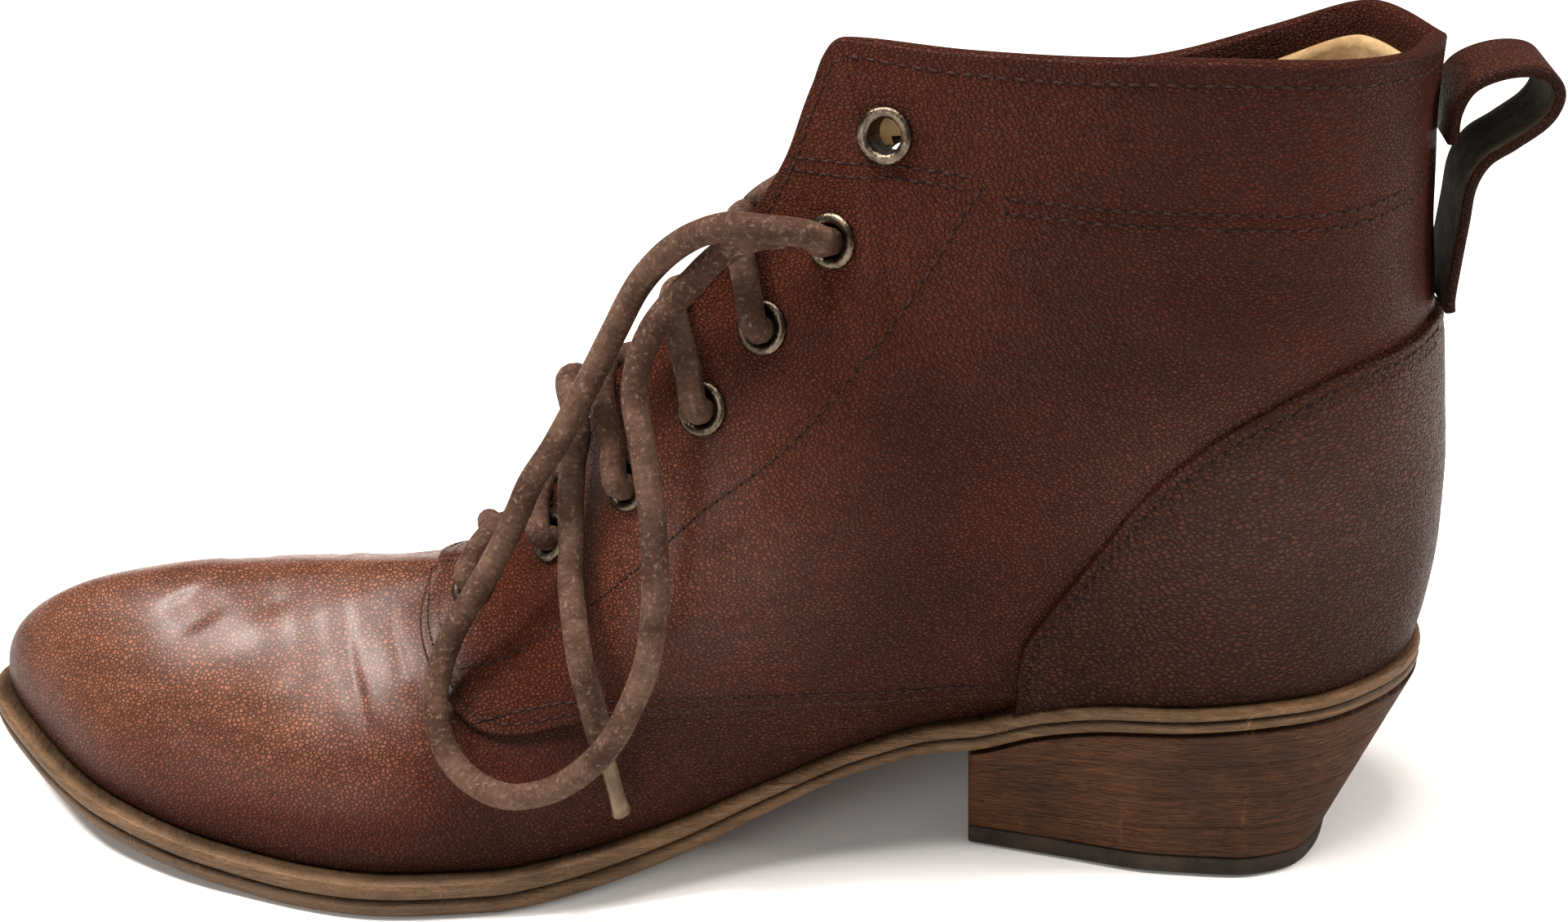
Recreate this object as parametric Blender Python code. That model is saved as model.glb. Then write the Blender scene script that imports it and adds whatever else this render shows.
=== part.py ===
# Lace-up ankle boot, right foot, built as its maker would put it together.
# Lengths below are in millimetres and become metres when a mesh is made.
# +X runs from toe to heel, -Y is the inner (medial) side, +Z is up, and z = 0 is the floor.
# The origin is the middle of the heel's flat walking face.
import math

import bmesh
import bpy
import numpy as np
from mathutils import Vector

# Driving sizes
METRE = 0.001
SOLE_LENGTH = 272.5
BALL_WIDTH = 94.4
BREAST_HEIGHT = 22.7
SOLE_EDGE = 7.2
OUTSOLE_SHARE = 0.55
SHAFT_HEIGHT = 149.0
LATERAL_DROP = 13.0
COLLAR_WIDTH = 55.0
THROAT_GAP = 22.0
THROAT_OFFSET = 4.0
HEEL_BACK = 48.0
HEEL_BASE_LENGTH = 67.0
HEEL_BASE_WIDTH = 54.0
TOP_PIECE = 4.0
LIFTS = 4
LIFT_GROOVE = 0.35
GROOVE_SHARE = 0.05
TREAD_TUCK = 1.0
TREAD_FLARE = 0.02
WELT_WIDTH = 9.0
INSOLE = 2.8
WALL = 2.0
OVERLAY = 1.0
GAP = 0.3
LAYER_GAP = 0.5
TONGUE_WALL = 1.8
EYELET_HOLE = 5.5
EYELET_WIDTH = 9.2
EYELET_LIP = 0.9
EYELET_WALL = 0.4
LACE_WIDTH = 4.6
TONGUE_REACH = 22.6
STRAP_WIDTH = 16.0
STRAP_WALL = 1.8
AGLET_LENGTH = 14.0
AGLET_WIDTH = 3.4

# Row of the opening's table where throat and collar meet
COLLAR_CORNER = 9.0

# Stations at which each quarter starts, and that the counter reaches from the back
QUARTER_START = 3
COUNTER_REACH = 14

# How finely the round forms are divided
STATIONS = 32
LEVELS = 13
HEEL_STATIONS = 14
RING_SIDES = 12
LACE_SIDES = 8

TOE = HEEL_BACK - SOLE_LENGTH
HALF_BALL = BALL_WIDTH / 2

# Edge of the sole seen from above.
# along: share of the sole's length from the toe; medial, lateral: shares of half the ball width
OUTLINE = np.array([
    # along medial lateral
    (0.000, 0.020, 0.02),
    (0.035, -0.31, 0.34),
    (0.117, -0.68, 0.66),
    (0.205, -0.88, 0.85),
    (0.319, -1.01, 0.98),
    (0.389, -0.97, 0.99),
    (0.451, -0.89, 0.965),
    (0.510, -0.775, 0.91),
    (0.572, -0.655, 0.815),
    (0.631, -0.572, 0.725),
    (0.697, -0.522, 0.655),
    (0.760, -0.560, 0.63),
    (0.840, -0.622, 0.63),
    (0.910, -0.565, 0.565),
    (0.965, -0.390, 0.39),
    (1.000, 0.000, 0.00),
])

# The sole seen from the side.
# under: height of its underside, as a share of the height at the breast
# edge: its thickness with the welt, as a share of the edge at the ball
# ledge: how far the welt stands out past the upper, in wall thicknesses
PROFILE = np.array([
    # along under edge ledge
    (0.000, 0.540, 0.86, 1.9),
    (0.068, 0.300, 0.92, 1.9),
    (0.117, 0.175, 0.96, 1.9),
    (0.193, 0.050, 0.99, 1.9),
    (0.255, 0.000, 1.00, 1.9),
    (0.391, 0.000, 1.00, 1.8),
    (0.420, 0.040, 1.00, 1.7),
    (0.475, 0.175, 0.99, 1.4),
    (0.508, 0.280, 0.97, 1.1),
    (0.538, 0.410, 0.93, 0.9),
    (0.571, 0.575, 0.84, 0.8),
    (0.629, 0.850, 0.72, 0.9),
    (0.673, 0.975, 0.74, 1.1),
    (0.699, 1.000, 0.78, 1.4),
    (0.750, 1.210, 0.72, 1.9),
    (0.795, 1.315, 0.69, 2.2),
    (0.861, 1.375, 0.66, 2.3),
    (1.000, 1.425, 0.66, 2.3),
])

# Edge of the opening, up the throat and round the collar.
# along: share of the sole's length; up: share of the shaft height
# width: distance from the middle, up the throat a share of half the gap, then of half the collar
# middle: how far the throat's middle lies towards the medial side, as a share of its offset
# drop: how much lower the lateral side hangs, as a share of the lateral drop
OPENING = np.array([
    # along up throat collar middle drop
    (0.3470, 0.302, 0.00, 0.00, 0.00, 0.00),
    (0.3690, 0.322, 0.15, 0.00, 0.00, 0.10),
    (0.4090, 0.390, 0.35, 0.00, 0.10, 0.25),
    (0.4320, 0.445, 0.48, 0.00, 0.20, 0.35),
    (0.4715, 0.584, 0.65, 0.00, 0.30, 0.50),
    (0.5210, 0.698, 0.80, 0.00, 0.35, 0.70),
    (0.5650, 0.799, 0.90, 0.00, 0.35, 0.90),
    (0.5910, 0.880, 0.95, 0.00, 0.35, 1.00),
    (0.6050, 0.951, 1.00, 0.00, 0.33, 1.05),
    (0.6205, 1.003, 1.05, 0.00, 0.30, 1.10),
    (0.6920, 1.008, 0.00, 0.80, 0.10, 1.25),
    (0.7870, 1.010, 0.00, 1.00, 0.00, 1.30),
    (0.8830, 1.004, 0.00, 0.95, 0.00, 0.75),
    (0.9400, 0.994, 0.00, 0.60, 0.00, 0.10),
    (0.9650, 0.983, 0.00, 0.00, 0.00, 0.00),
])

# Ribs of the upper, each a curve from the sole's edge to the opening's edge.
# edge: place on the opening's edge, counted in rows of the table above
# bulge, rise: first handle, outwards and up; lean, out, fall: second handle, from the edge
# all handles are shares of the shaft height
RIBS = np.array([
    # along edge bulge rise lean out fall
    (0.000, 0.00, 0.018, 0.165, -0.340, 0.000, -0.004),
    (0.035, 0.20, 0.016, 0.160, -0.290, 0.030, 0.002),
    (0.117, 0.45, 0.014, 0.140, -0.180, 0.080, 0.022),
    (0.205, 0.70, 0.012, 0.120, -0.090, 0.110, 0.045),
    (0.319, 1.05, 0.010, 0.120, -0.030, 0.125, 0.055),
    (0.389, 1.80, 0.012, 0.135, 0.010, 0.130, 0.070),
    (0.451, 3.20, 0.018, 0.180, 0.025, 0.130, 0.085),
    (0.510, 4.50, 0.028, 0.240, 0.040, 0.125, 0.110),
    (0.572, 6.00, 0.040, 0.300, 0.060, 0.115, 0.160),
    (0.600, 7.50, 0.044, 0.320, 0.066, 0.105, 0.200),
    (0.631, 9.00, 0.048, 0.340, 0.070, 0.095, 0.240),
    (0.697, 9.80, 0.040, 0.350, 0.050, 0.050, 0.280),
    (0.760, 10.6, 0.028, 0.350, 0.015, 0.020, 0.300),
    (0.840, 11.5, 0.022, 0.310, 0.000, 0.005, 0.300),
    (0.910, 12.4, 0.028, 0.280, 0.000, 0.000, 0.290),
    (0.965, 13.3, 0.040, 0.260, 0.000, -0.005, 0.280),
    (1.000, 14.0, 0.050, 0.250, 0.000, -0.010, 0.270),
])

# Eyelets up each flap, from the vamp to the collar.
# place: place on the opening's edge, counted in rows of its table; below: distance from that edge
# proud: how far the ring stands off where the leather is strongly curved
EYELETS = np.array([
    # place below proud
    (1.20, 8.5, 0.9),
    (2.65, 8.5, 0.2),
    (3.95, 17.8, 0.0),
    (4.90, 18.0, 0.0),
    (5.75, 15.5, 0.0),
    (7.45, 19.5, 0.0),
    (9.30, 14.5, 0.4),
])
LACED_ROWS = 6

# Strand of lace past its flap's edge: share of the way to the next row, share of the gap
# crossed, and how far it is lifted off the line between the flaps
STRAND_ACROSS = ((0.10, 0.0, 0.8), (0.25, 0.5, 1.6), (0.40, 0.85, 0.8))
STRAND_POINTS = 10

# Lower edge of the quarters and front edge of the counter, seen from the side.
# along: share of the sole's length; up: share of the shaft height
QUARTER_EDGE = np.array([
    # along up
    (0.343, 0.420),
    (0.337, 0.320),
    (0.332, 0.292),
    (0.337, 0.265),
    (0.358, 0.232),
    (0.388, 0.208),
    (0.420, 0.215),
    (0.450, 0.234),
    (0.490, 0.247),
    (0.530, 0.248),
    (0.580, 0.240),
    (0.650, 0.222),
    (0.708, 0.222),
])
COUNTER_EDGE = np.array([
    # along up
    (0.730, 0.200),
    (0.732, 0.300),
    (0.744, 0.348),
    (0.760, 0.396),
    (0.782, 0.460),
    (0.800, 0.516),
    (0.818, 0.555),
    (0.845, 0.600),
    (0.872, 0.631),
    (0.909, 0.668),
    (0.945, 0.676),
    (1.020, 0.670),
])

# Walking face of the heel, from its breast to its back.
# along: share of its length; medial, lateral: shares of half its width
HEEL_BASE = np.array([
    # along medial lateral
    (0.00, -0.77, 0.98),
    (0.25, -0.91, 1.00),
    (0.50, -1.04, 1.02),
    (0.70, -1.06, 1.00),
    (0.85, -0.97, 0.90),
    (0.95, -0.68, 0.64),
    (1.00, 0.00, 0.00),
])

# Rings of the sole's side: inset from the edge and height as a share of that layer
OUTSOLE_SIDE = ((1.6, 0.0), (0.4, 0.22), (0.0, 0.6), (0.5, 1.0))
WELT_SIDE = ((0.6, 0.0), (0.1, 0.45), (0.9, 1.0))

# Pull loop, from its sewn top end out, round and down the back, in strap widths.
# out: distance from the back it is sewn to; up: height from the shaft's top
LOOP_ROUTE = np.array([
    # out up
    (0.00, -1.12),
    (0.02, -0.80),
    (0.16, -0.54),
    (0.50, -0.40),
    (0.84, -0.42),
    (0.99, -0.62),
    (0.90, -0.88),
    (0.60, -1.12),
    (0.34, -1.30),
    (0.20, -1.56),
    (0.14, -1.94),
    (0.06, -2.42),
    (0.00, -2.80),
    (0.00, -2.94),
])

# Long loop of lace lying over the instep and the vamp, from the medial side's last laced
# eyelet down round the vamp and back up across the throat to the lateral side.
LOOP_CORD = [
    # x y z
    (-57.6, -26.0, 121.3),
    (-60.9, -28.0, 123.4),
    (-66.4, -30.0, 124.9),
    (-73.5, -28.8, 124.8),
    (-81.8, -21.5, 118.7),
    (-88.7, -18.0, 110.8),
    (-94.1, -17.5, 101.0),
    (-99.5, -18.5, 90.8),
    (-104.7, -20.5, 81.7),
    (-109.1, -22.0, 75.3),
    (-111.5, -23.0, 70.2),
    (-115.0, -23.0, 63.2),
    (-118.8, -24.5, 56.7),
    (-123.3, -26.0, 49.5),
    (-126.1, -28.5, 43.4),
    (-127.2, -32.5, 38.0),
    (-125.4, -38.2, 32.9),
    (-120.3, -43.7, 29.2),
    (-112.9, -46.0, 26.8),
    (-104.2, -46.0, 28.8),
    (-95.0, -47.4, 37.8),
    (-90.0, -45.0, 46.2),
    (-87.1, -42.5, 54.4),
    (-86.0, -38.5, 66.2),
    (-86.6, -34.5, 77.9),
    (-88.1, -30.5, 87.1),
    (-89.4, -26.5, 95.6),
    (-86.6, -23.0, 104.3),
    (-79.7, -21.5, 112.4),
    (-73.7, -22.8, 118.5),
    (-68.5, -22.6, 120.7),
    (-63.9, -22.3, 120.9),
]

# Free end of the lace, from the lateral side's last laced eyelet across the throat and down.
END_CORD = [
    # x y z
    (-60.0, 24.0, 107.4),
    (-64.0, 28.5, 99.0),
    (-72.0, 31.0, 86.0),
    (-82.0, 31.5, 73.5),
    (-94.0, 28.8, 64.0),
    (-101.8, 22.2, 64.8),
    (-104.5, 14.5, 73.0),
    (-104.5, 6.5, 81.5),
    (-105.2, -3.0, 85.2),
    (-102.0, -13.8, 81.1),
    (-102.8, -16.5, 75.7),
    (-103.0, -20.0, 69.5),
    (-102.7, -23.0, 64.7),
    (-102.1, -29.5, 58.0),
    (-99.7, -38.6, 50.2),
    (-98.0, -41.2, 44.6),
    (-97.1, -41.8, 40.0),
    (-96.2, -42.1, 35.3),
]
TIP_END = (-93.4, -42.6, 19.5)

MATERIALS = {
    # name: colour, roughness, metallic
    "brown_leather": ((0.085, 0.036, 0.027), 0.45, 0.0),
    "counter_leather": ((0.070, 0.030, 0.024), 0.45, 0.0),
    "sole_leather": ((0.150, 0.105, 0.065), 0.60, 0.0),
    "stacked_leather": ((0.120, 0.068, 0.036), 0.55, 0.0),
    "heel_rubber": ((0.030, 0.022, 0.018), 0.70, 0.0),
    "lining_leather": ((0.62, 0.52, 0.36), 0.70, 0.0),
    "strap_leather": ((0.060, 0.034, 0.026), 0.50, 0.0),
    "aged_brass": ((0.110, 0.085, 0.060), 0.35, 1.0),
    "waxed_cord": ((0.130, 0.090, 0.070), 0.75, 0.0),
    "clear_tip": ((0.55, 0.47, 0.36), 0.30, 0.0),
}


def clear_scene():
    for item in list(bpy.data.objects):
        bpy.data.objects.remove(item, do_unlink=True)


def material(name):
    found = bpy.data.materials.get(name)
    if found:
        return found
    made = bpy.data.materials.new(name)
    made.use_nodes = True
    colour, roughness, metallic = MATERIALS[name]
    shader = made.node_tree.nodes["Principled BSDF"]
    shader.inputs["Base Color"].default_value = (*colour, 1.0)
    shader.inputs["Roughness"].default_value = roughness
    shader.inputs["Metallic"].default_value = metallic
    return made


def add_mesh(name, points, faces, slot):
    """One object from points in millimetres, with its faces turned outwards."""
    mesh = bpy.data.meshes.new(name)
    mesh.from_pydata([tuple(METRE * float(v) for v in p) for p in points], [], faces)
    work = bmesh.new()
    work.from_mesh(mesh)
    bmesh.ops.recalc_face_normals(work, faces=work.faces)
    work.to_mesh(mesh)
    work.free()
    mesh.materials.append(material(slot))
    made = bpy.data.objects.new(name, mesh)
    bpy.context.scene.collection.objects.link(made)
    return made


def cut(target, tool, operation):
    """A live EXACT Boolean, its tool kept out of the build."""
    step = target.modifiers.new(tool.name, "BOOLEAN")
    step.operation = operation
    step.solver = "EXACT"
    step.object = tool
    tool.display_type = "WIRE"
    tool.hide_render = True


def read_smooth(table, at):
    """Read a table's columns at the places `at` of its first column, without overshoot."""
    x = table[:, 0]
    y = table[:, 1:]
    step = np.diff(x)[:, None]
    slope = np.diff(y, axis=0) / step
    tangent = np.zeros_like(y)
    tangent[0] = slope[0]
    tangent[-1] = slope[-1]
    before = slope[:-1]
    after = slope[1:]
    left = 2 * step[1:] + step[:-1]
    right = step[1:] + 2 * step[:-1]
    same = before * after > 0
    mean = (left + right) / np.where(same, left / np.where(same, before, 1) + right / np.where(same, after, 1), 1)
    tangent[1:-1] = np.where(same, mean, 0)
    at = np.clip(np.atleast_1d(at), x[0], x[-1])
    k = np.clip(np.searchsorted(x, at, side="right") - 1, 0, len(x) - 2)
    t = ((at - x[k]) / (x[k + 1] - x[k]))[:, None]
    h = step[k]
    return ((2 * t**3 - 3 * t**2 + 1) * y[k] + (t**3 - 2 * t**2 + t) * h * tangent[k]
            + (3 * t**2 - 2 * t**3) * y[k + 1] + (t**3 - t**2) * h * tangent[k + 1])


def turned(share):
    """Angle whose cosine runs along the length, so that round ends read evenly."""
    return np.arccos(np.clip(1 - 2 * np.asarray(share, float), -1, 1))


def smooth_route(points, count):
    """Points read evenly from one smooth curve through a route's own points."""
    p = np.asarray(points, float)
    gaps = np.linalg.norm(np.diff(p, axis=0), axis=1)
    at = np.concatenate([[0], np.cumsum(np.sqrt(gaps))])
    tangent = np.zeros_like(p)
    tangent[1:-1] = (p[2:] - p[:-2]) / (at[2:] - at[:-2])[:, None]
    tangent[0] = (p[1] - p[0]) / (at[1] - at[0])
    tangent[-1] = (p[-1] - p[-2]) / (at[-1] - at[-2])
    fine = np.linspace(0, at[-1], 40 * len(p))
    k = np.clip(np.searchsorted(at, fine, side="right") - 1, 0, len(at) - 2)
    h = (at[k + 1] - at[k])[:, None]
    t = ((fine - at[k]) / (at[k + 1] - at[k]))[:, None]
    curve = ((2 * t**3 - 3 * t**2 + 1) * p[k] + (t**3 - 2 * t**2 + t) * h * tangent[k]
             + (3 * t**2 - 2 * t**3) * p[k + 1] + (t**3 - t**2) * h * tangent[k + 1])
    run = np.concatenate([[0], np.cumsum(np.linalg.norm(np.diff(curve, axis=0), axis=1))])
    even = np.linspace(0, run[-1], count)
    return np.stack([np.interp(even, run, curve[:, axis]) for axis in range(p.shape[1])], axis=1)


def station_shares(count=STATIONS):
    return (1 - np.cos(np.linspace(0, math.pi, count + 1))) / 2


def outline_sides(shares):
    """Medial and lateral edge of the sole at shares of its length."""
    table = np.column_stack([turned(OUTLINE[:, 0]), OUTLINE[:, 1:]])
    return read_smooth(table, turned(shares)) * HALF_BALL


def around(medial, lateral):
    """One closed ring, toe to heel on the medial side and back on the lateral one."""
    return np.concatenate([medial, lateral[1:-1][::-1]])


def profile(shares):
    """Underside height, thickness and ledge of the sole at shares of its length."""
    under, edge, ledge = read_smooth(PROFILE, shares).T
    return under * BREAST_HEIGHT, edge * SOLE_EDGE, ledge * WALL


def sole_ring(inset=0.0, height=0.0, shares=None):
    """A closed ring inside the sole's edge at a share of the sole's thickness."""
    shares = station_shares() if shares is None else shares
    sides = outline_sides(shares)
    x = TOE + SOLE_LENGTH * shares
    medial = np.column_stack([x, sides[:, 0]])
    lateral = np.column_stack([x, sides[:, 1]])
    ring = around(medial, lateral)
    normal = outward(ring)
    far = np.asarray(inset, float)
    if far.ndim:
        far = around(far, far)[:, None]
    flat = ring - normal * far
    share = np.clip((flat[:, 0] - TOE) / SOLE_LENGTH, 0, 1)
    under, edge, _ = profile(share)
    return np.column_stack([flat, under + edge * height])


def outward(ring):
    """Outward unit normals of a closed flat ring."""
    along = np.roll(ring, -1, axis=0) - np.roll(ring, 1, axis=0)
    normal = np.column_stack([along[:, 1], -along[:, 0]])
    normal = normal / np.linalg.norm(normal, axis=1)[:, None]
    middle = ring.mean(axis=0)
    if ((ring - middle) * normal).sum() < 0:
        normal = -normal
    return normal


def ring_faces(first, second, count):
    """Quads between two closed rings of points that start at these indices."""
    return [(first + i, first + (i + 1) % count, second + (i + 1) % count, second + i) for i in range(count)]


def cap_faces(start, count):
    """Strips across a ring whose first half runs one side and second half the other."""
    half = count // 2
    faces = [(start, start + 1, start + count - 1)]
    for i in range(1, half - 1):
        faces.append((start + i, start + i + 1, start + count - i - 1, start + count - i))
    faces.append((start + half - 1, start + half, start + half + 1))
    return faces


def slab(name, rings, slot):
    """A closed plate from rings stacked from its underside to its top."""
    count = len(rings[0])
    faces = cap_faces(0, count)
    for k in range(len(rings) - 1):
        faces += ring_faces(k * count, (k + 1) * count, count)
    faces += cap_faces((len(rings) - 1) * count, count)
    return add_mesh(name, np.concatenate(rings), faces, slot)


def hoop(name, rings, slot):
    """A closed band whose section is the loop of rings given."""
    count = len(rings[0])
    faces = []
    for k in range(len(rings)):
        faces += ring_faces(k * count, ((k + 1) % len(rings)) * count, count)
    return add_mesh(name, np.concatenate(rings), faces, slot)


def raised(ring, by):
    moved = ring.copy()
    moved[:, 2] += by
    return moved


def make_outsole():
    rings = [sole_ring(inset, OUTSOLE_SHARE * height) for inset, height in OUTSOLE_SIDE]
    rings[-1] = raised(rings[-1], -GAP)
    return slab("outsole", rings, "sole_leather")


def make_welt():
    span = 1 - OUTSOLE_SHARE
    rings = [sole_ring(inset, OUTSOLE_SHARE + span * height) for inset, height in WELT_SIDE]
    rings.append(sole_ring(WELT_WIDTH, 1.0))
    rings.append(sole_ring(WELT_WIDTH, OUTSOLE_SHARE))
    return hoop("welt", rings, "sole_leather")


def make_insole():
    low = sole_ring(WELT_WIDTH + GAP, OUTSOLE_SHARE)
    high = raised(low, INSOLE)
    return slab("insole", [low, high], "lining_leather")


def heel_ring(fraction, inset=0.0):
    """A ring of the heel between its walking face (0) and the sole's underside (1)."""
    angle = np.linspace(0, math.pi / 2, HEEL_STATIONS + 1)
    base_table = np.column_stack([np.arcsin(HEEL_BASE[:, 0]), HEEL_BASE[:, 1:]])
    base_sides = read_smooth(base_table, angle) * HEEL_BASE_WIDTH / 2
    base_x = HEEL_BASE_LENGTH * (np.sin(angle) - 0.5)
    breast = -HEEL_BASE_LENGTH / 2
    top_x = breast + (HEEL_BACK - breast) * np.sin(angle)
    top_sides = outline_sides((top_x - TOE) / SOLE_LENGTH)
    rings = []
    for side in (0, 1):
        top = np.column_stack([top_x, top_sides[:, side]])
        base = np.column_stack([base_x, base_sides[:, side]])
        rings.append(base + (top - base) * fraction)
    ring = np.concatenate([rings[0], rings[1][:-1][::-1]])
    under, _, _ = profile(np.clip((ring[:, 0] - TOE) / SOLE_LENGTH, 0, 1))
    middle = np.array([breast + (HEEL_BACK - breast) * 0.45, 0.0])
    away = ring - middle
    flat = ring - away / np.linalg.norm(away, axis=1)[:, None] * inset
    return flat, under - GAP


def flat_level(fraction, inset, height):
    """A ring of the heel at one height above the floor."""
    flat, _ = heel_ring(fraction, inset)
    return np.column_stack([flat, np.full(len(flat), height)])


def stack_level(fraction, inset, share):
    """A ring of the heel at a share of the height from its top piece to the sole."""
    flat, ceiling = heel_ring(fraction, inset)
    return np.column_stack([flat, TOP_PIECE + (ceiling - TOP_PIECE) * share])


def heel_solid(name, rings, slot):
    """A solid from rings of the heel, with flat caps across the first and the last."""
    count = len(rings[0])
    half = count // 2
    faces = []
    for start in (0, (len(rings) - 1) * count):
        for i in range(half - 1):
            faces.append((start + i, start + i + 1, start + count - i - 2, start + count - i - 1))
        faces.append((start + half - 1, start + half, start + half + 1))
    for k in range(len(rings) - 1):
        faces += ring_faces(k * count, (k + 1) * count, count)
    return add_mesh(name, np.concatenate(rings), faces, slot)


def make_heel():
    """Leather lifts glued in one stack, with a shallow groove at each joint."""
    rings = []
    first = GAP / (BREAST_HEIGHT - TOP_PIECE)
    for k in range(LIFTS):
        low = max(k / LIFTS, first)
        high = (k + 1) / LIFTS
        rings.append(stack_level(low, LIFT_GROOVE, low))
        rings.append(stack_level(low, 0.0, low + GROOVE_SHARE / LIFTS))
        rings.append(stack_level(high, 0.0, high - GROOVE_SHARE / LIFTS))
    rings.append(stack_level(1.0, LIFT_GROOVE, 1.0))
    return heel_solid("heel_stack", rings, "stacked_leather")


def make_top_piece():
    rings = [
        flat_level(0.0, TREAD_TUCK, 0.0),
        flat_level(0.0, 0.0, TREAD_TUCK),
        flat_level(TREAD_FLARE, 0.0, TOP_PIECE),
    ]
    return heel_solid("heel_top_piece", rings, "heel_rubber")


def opening_edge(places, side):
    """Points of the opening's edge at row counts, on side -1 (medial) or 1 (lateral)."""
    table = np.column_stack([np.arange(len(OPENING)), OPENING])
    along, up, throat, collar, middle, drop = read_smooth(table, places).T
    x = TOE + SOLE_LENGTH * along
    y = side * (throat * THROAT_GAP + collar * COLLAR_WIDTH) / 2 - middle * THROAT_OFFSET
    z = up * SHAFT_HEIGHT - (drop * LATERAL_DROP if side > 0 else 0)
    return np.column_stack([x, y, z])


def rib_shares():
    """Stations of the upper, evenly spread by the sole's edge and the opening's together."""
    fine = np.linspace(0, math.pi, 721)
    shares = (1 - np.cos(fine)) / 2
    edge = read_smooth(RIBS, shares)[:, 0]
    spread = fine / math.pi + edge / edge[-1]
    found = np.interp(np.linspace(0, 2, STATIONS + 1), spread, shares)
    edge = np.interp(found, shares, edge)
    corner = np.argmin(np.abs(edge - COLLAR_CORNER))
    found[corner] = np.interp(COLLAR_CORNER, read_smooth(RIBS, shares)[:, 0], shares)
    return found


def last_grid():
    """The last's surface, as levels from the sole's edge up and stations round it."""
    shares = rib_shares()
    _, _, ledge = profile(shares)
    foot = sole_ring(ledge, 1.0, shares)
    foot[:, 2] += 2 * GAP
    normal = outward(foot[:, :2])
    ribs = read_smooth(RIBS, shares)
    edge, bulge, rise, lean, out, fall = ribs.T
    top = around(opening_edge(edge, -1), opening_edge(edge, 1))
    bulge, rise, lean, out, fall = (around(v, v)[:, None] * SHAFT_HEIGHT for v in (bulge, rise, lean, out, fall))
    flat = np.column_stack([normal, np.zeros(len(normal))])
    up = np.array([[0.0, 0.0, 1.0]])
    along = np.array([[1.0, 0.0, 0.0]])
    first = foot + flat * bulge + up * rise
    second = top + flat * out + along * lean - up * fall
    levels = []
    for t in np.linspace(0, 1, LEVELS):
        levels.append((1 - t)**3 * foot + 3 * (1 - t)**2 * t * first + 3 * (1 - t) * t**2 * second + t**3 * top)
    return np.array(levels)


def grid_normals(grid):
    """Unit normals of the last's surface, pointing away from the foot."""
    round_way = np.roll(grid, -1, axis=1) - np.roll(grid, 1, axis=1)
    up_way = np.gradient(grid, axis=0)
    normal = np.cross(round_way, up_way)
    normal[0, :, 2] = 0
    normal /= np.linalg.norm(normal, axis=2)[:, :, None]
    normal[-1] = normal[-2]
    return -normal if normal[LEVELS // 3, STATIONS // 2, 1] > 0 else normal


def shell(name, low, high, slot):
    """A closed skin right round the foot, between two distances from the last's surface."""
    inner = SURFACE + NORMALS * low
    outer = SURFACE + NORMALS * high
    count = SURFACE.shape[1]
    points = np.concatenate([outer.reshape(-1, 3), inner.reshape(-1, 3)])
    shift = LEVELS * count
    faces = []
    for level in range(LEVELS - 1):
        faces += ring_faces(level * count, (level + 1) * count, count)
        faces += ring_faces(shift + level * count, shift + (level + 1) * count, count)
    for level in (0, LEVELS - 1):
        faces += ring_faces(level * count, shift + level * count, count)
    return add_mesh(name, points, faces, slot)


def sheet_solid(name, front, back, slot):
    """A closed plate between two open grids of points."""
    high, wide = front.shape[:2]
    shift = high * wide
    faces = []
    for row in range(high - 1):
        for column in range(wide - 1):
            a = row * wide + column
            faces.append((a, a + 1, a + wide + 1, a + wide))
            faces.append((shift + a, shift + a + wide, shift + a + wide + 1, shift + a + 1))
    border = list(range(wide))
    border += [row * wide + wide - 1 for row in range(1, high)]
    border += [(high - 1) * wide + column for column in range(wide - 2, -1, -1)]
    border += [row * wide for row in range(high - 2, 0, -1)]
    for k, a in enumerate(border):
        b = border[(k + 1) % len(border)]
        faces.append((a, shift + a, shift + b, b))
    return add_mesh(name, np.concatenate([front.reshape(-1, 3), back.reshape(-1, 3)]), faces, slot)


def patch(name, columns, low, high, slot):
    """A closed skin over some of the stations, between two distances from the last's surface."""
    columns = [c % SURFACE.shape[1] for c in columns]
    skin = SURFACE[:, columns]
    normal = NORMALS[:, columns]
    return sheet_solid(name, skin + normal * high, skin + normal * low, slot)


def side_prism(name, edge, ends):
    """A block across the whole boot, bounded by a line seen from the side."""
    line = smooth_route(edge, 3 * len(edge))
    line = np.column_stack([TOE + SOLE_LENGTH * line[:, 0], SHAFT_HEIGHT * line[:, 1]])
    outline = np.concatenate([line, np.array(ends)])
    count = len(outline)
    near = np.column_stack([outline[:, 0], np.full(count, -BALL_WIDTH), outline[:, 1]])
    far = near.copy()
    far[:, 1] = BALL_WIDTH
    faces = [tuple(range(count)), tuple(range(count, 2 * count))] + ring_faces(0, count, count)
    return add_mesh(name, np.concatenate([near, far]), faces, "brown_leather")


def on_last(side, place, distance):
    """A point and normal on the surface, at a place on the throat's edge and a distance below it."""
    edge = read_smooth(RIBS, rib_shares())[:, 0]
    station = np.interp(place, edge, np.arange(len(edge)))
    low = int(station)
    part = station - low
    count = SURFACE.shape[1]
    columns = [low, min(low + 1, STATIONS)]
    if side > 0:
        columns = [(count - c) % count for c in columns]
    rib = SURFACE[:, columns[0]] * (1 - part) + SURFACE[:, columns[1]] * part
    skin = NORMALS[:, columns[0]] * (1 - part) + NORMALS[:, columns[1]] * part
    rib = rib[::-1]
    skin = skin[::-1]
    run = np.concatenate([[0], np.cumsum(np.linalg.norm(np.diff(rib, axis=0), axis=1))])
    point = np.array([np.interp(distance, run, rib[:, axis]) for axis in range(3)])
    normal = np.array([np.interp(distance, run, skin[:, axis]) for axis in range(3)])
    return point, normal / np.linalg.norm(normal)


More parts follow.
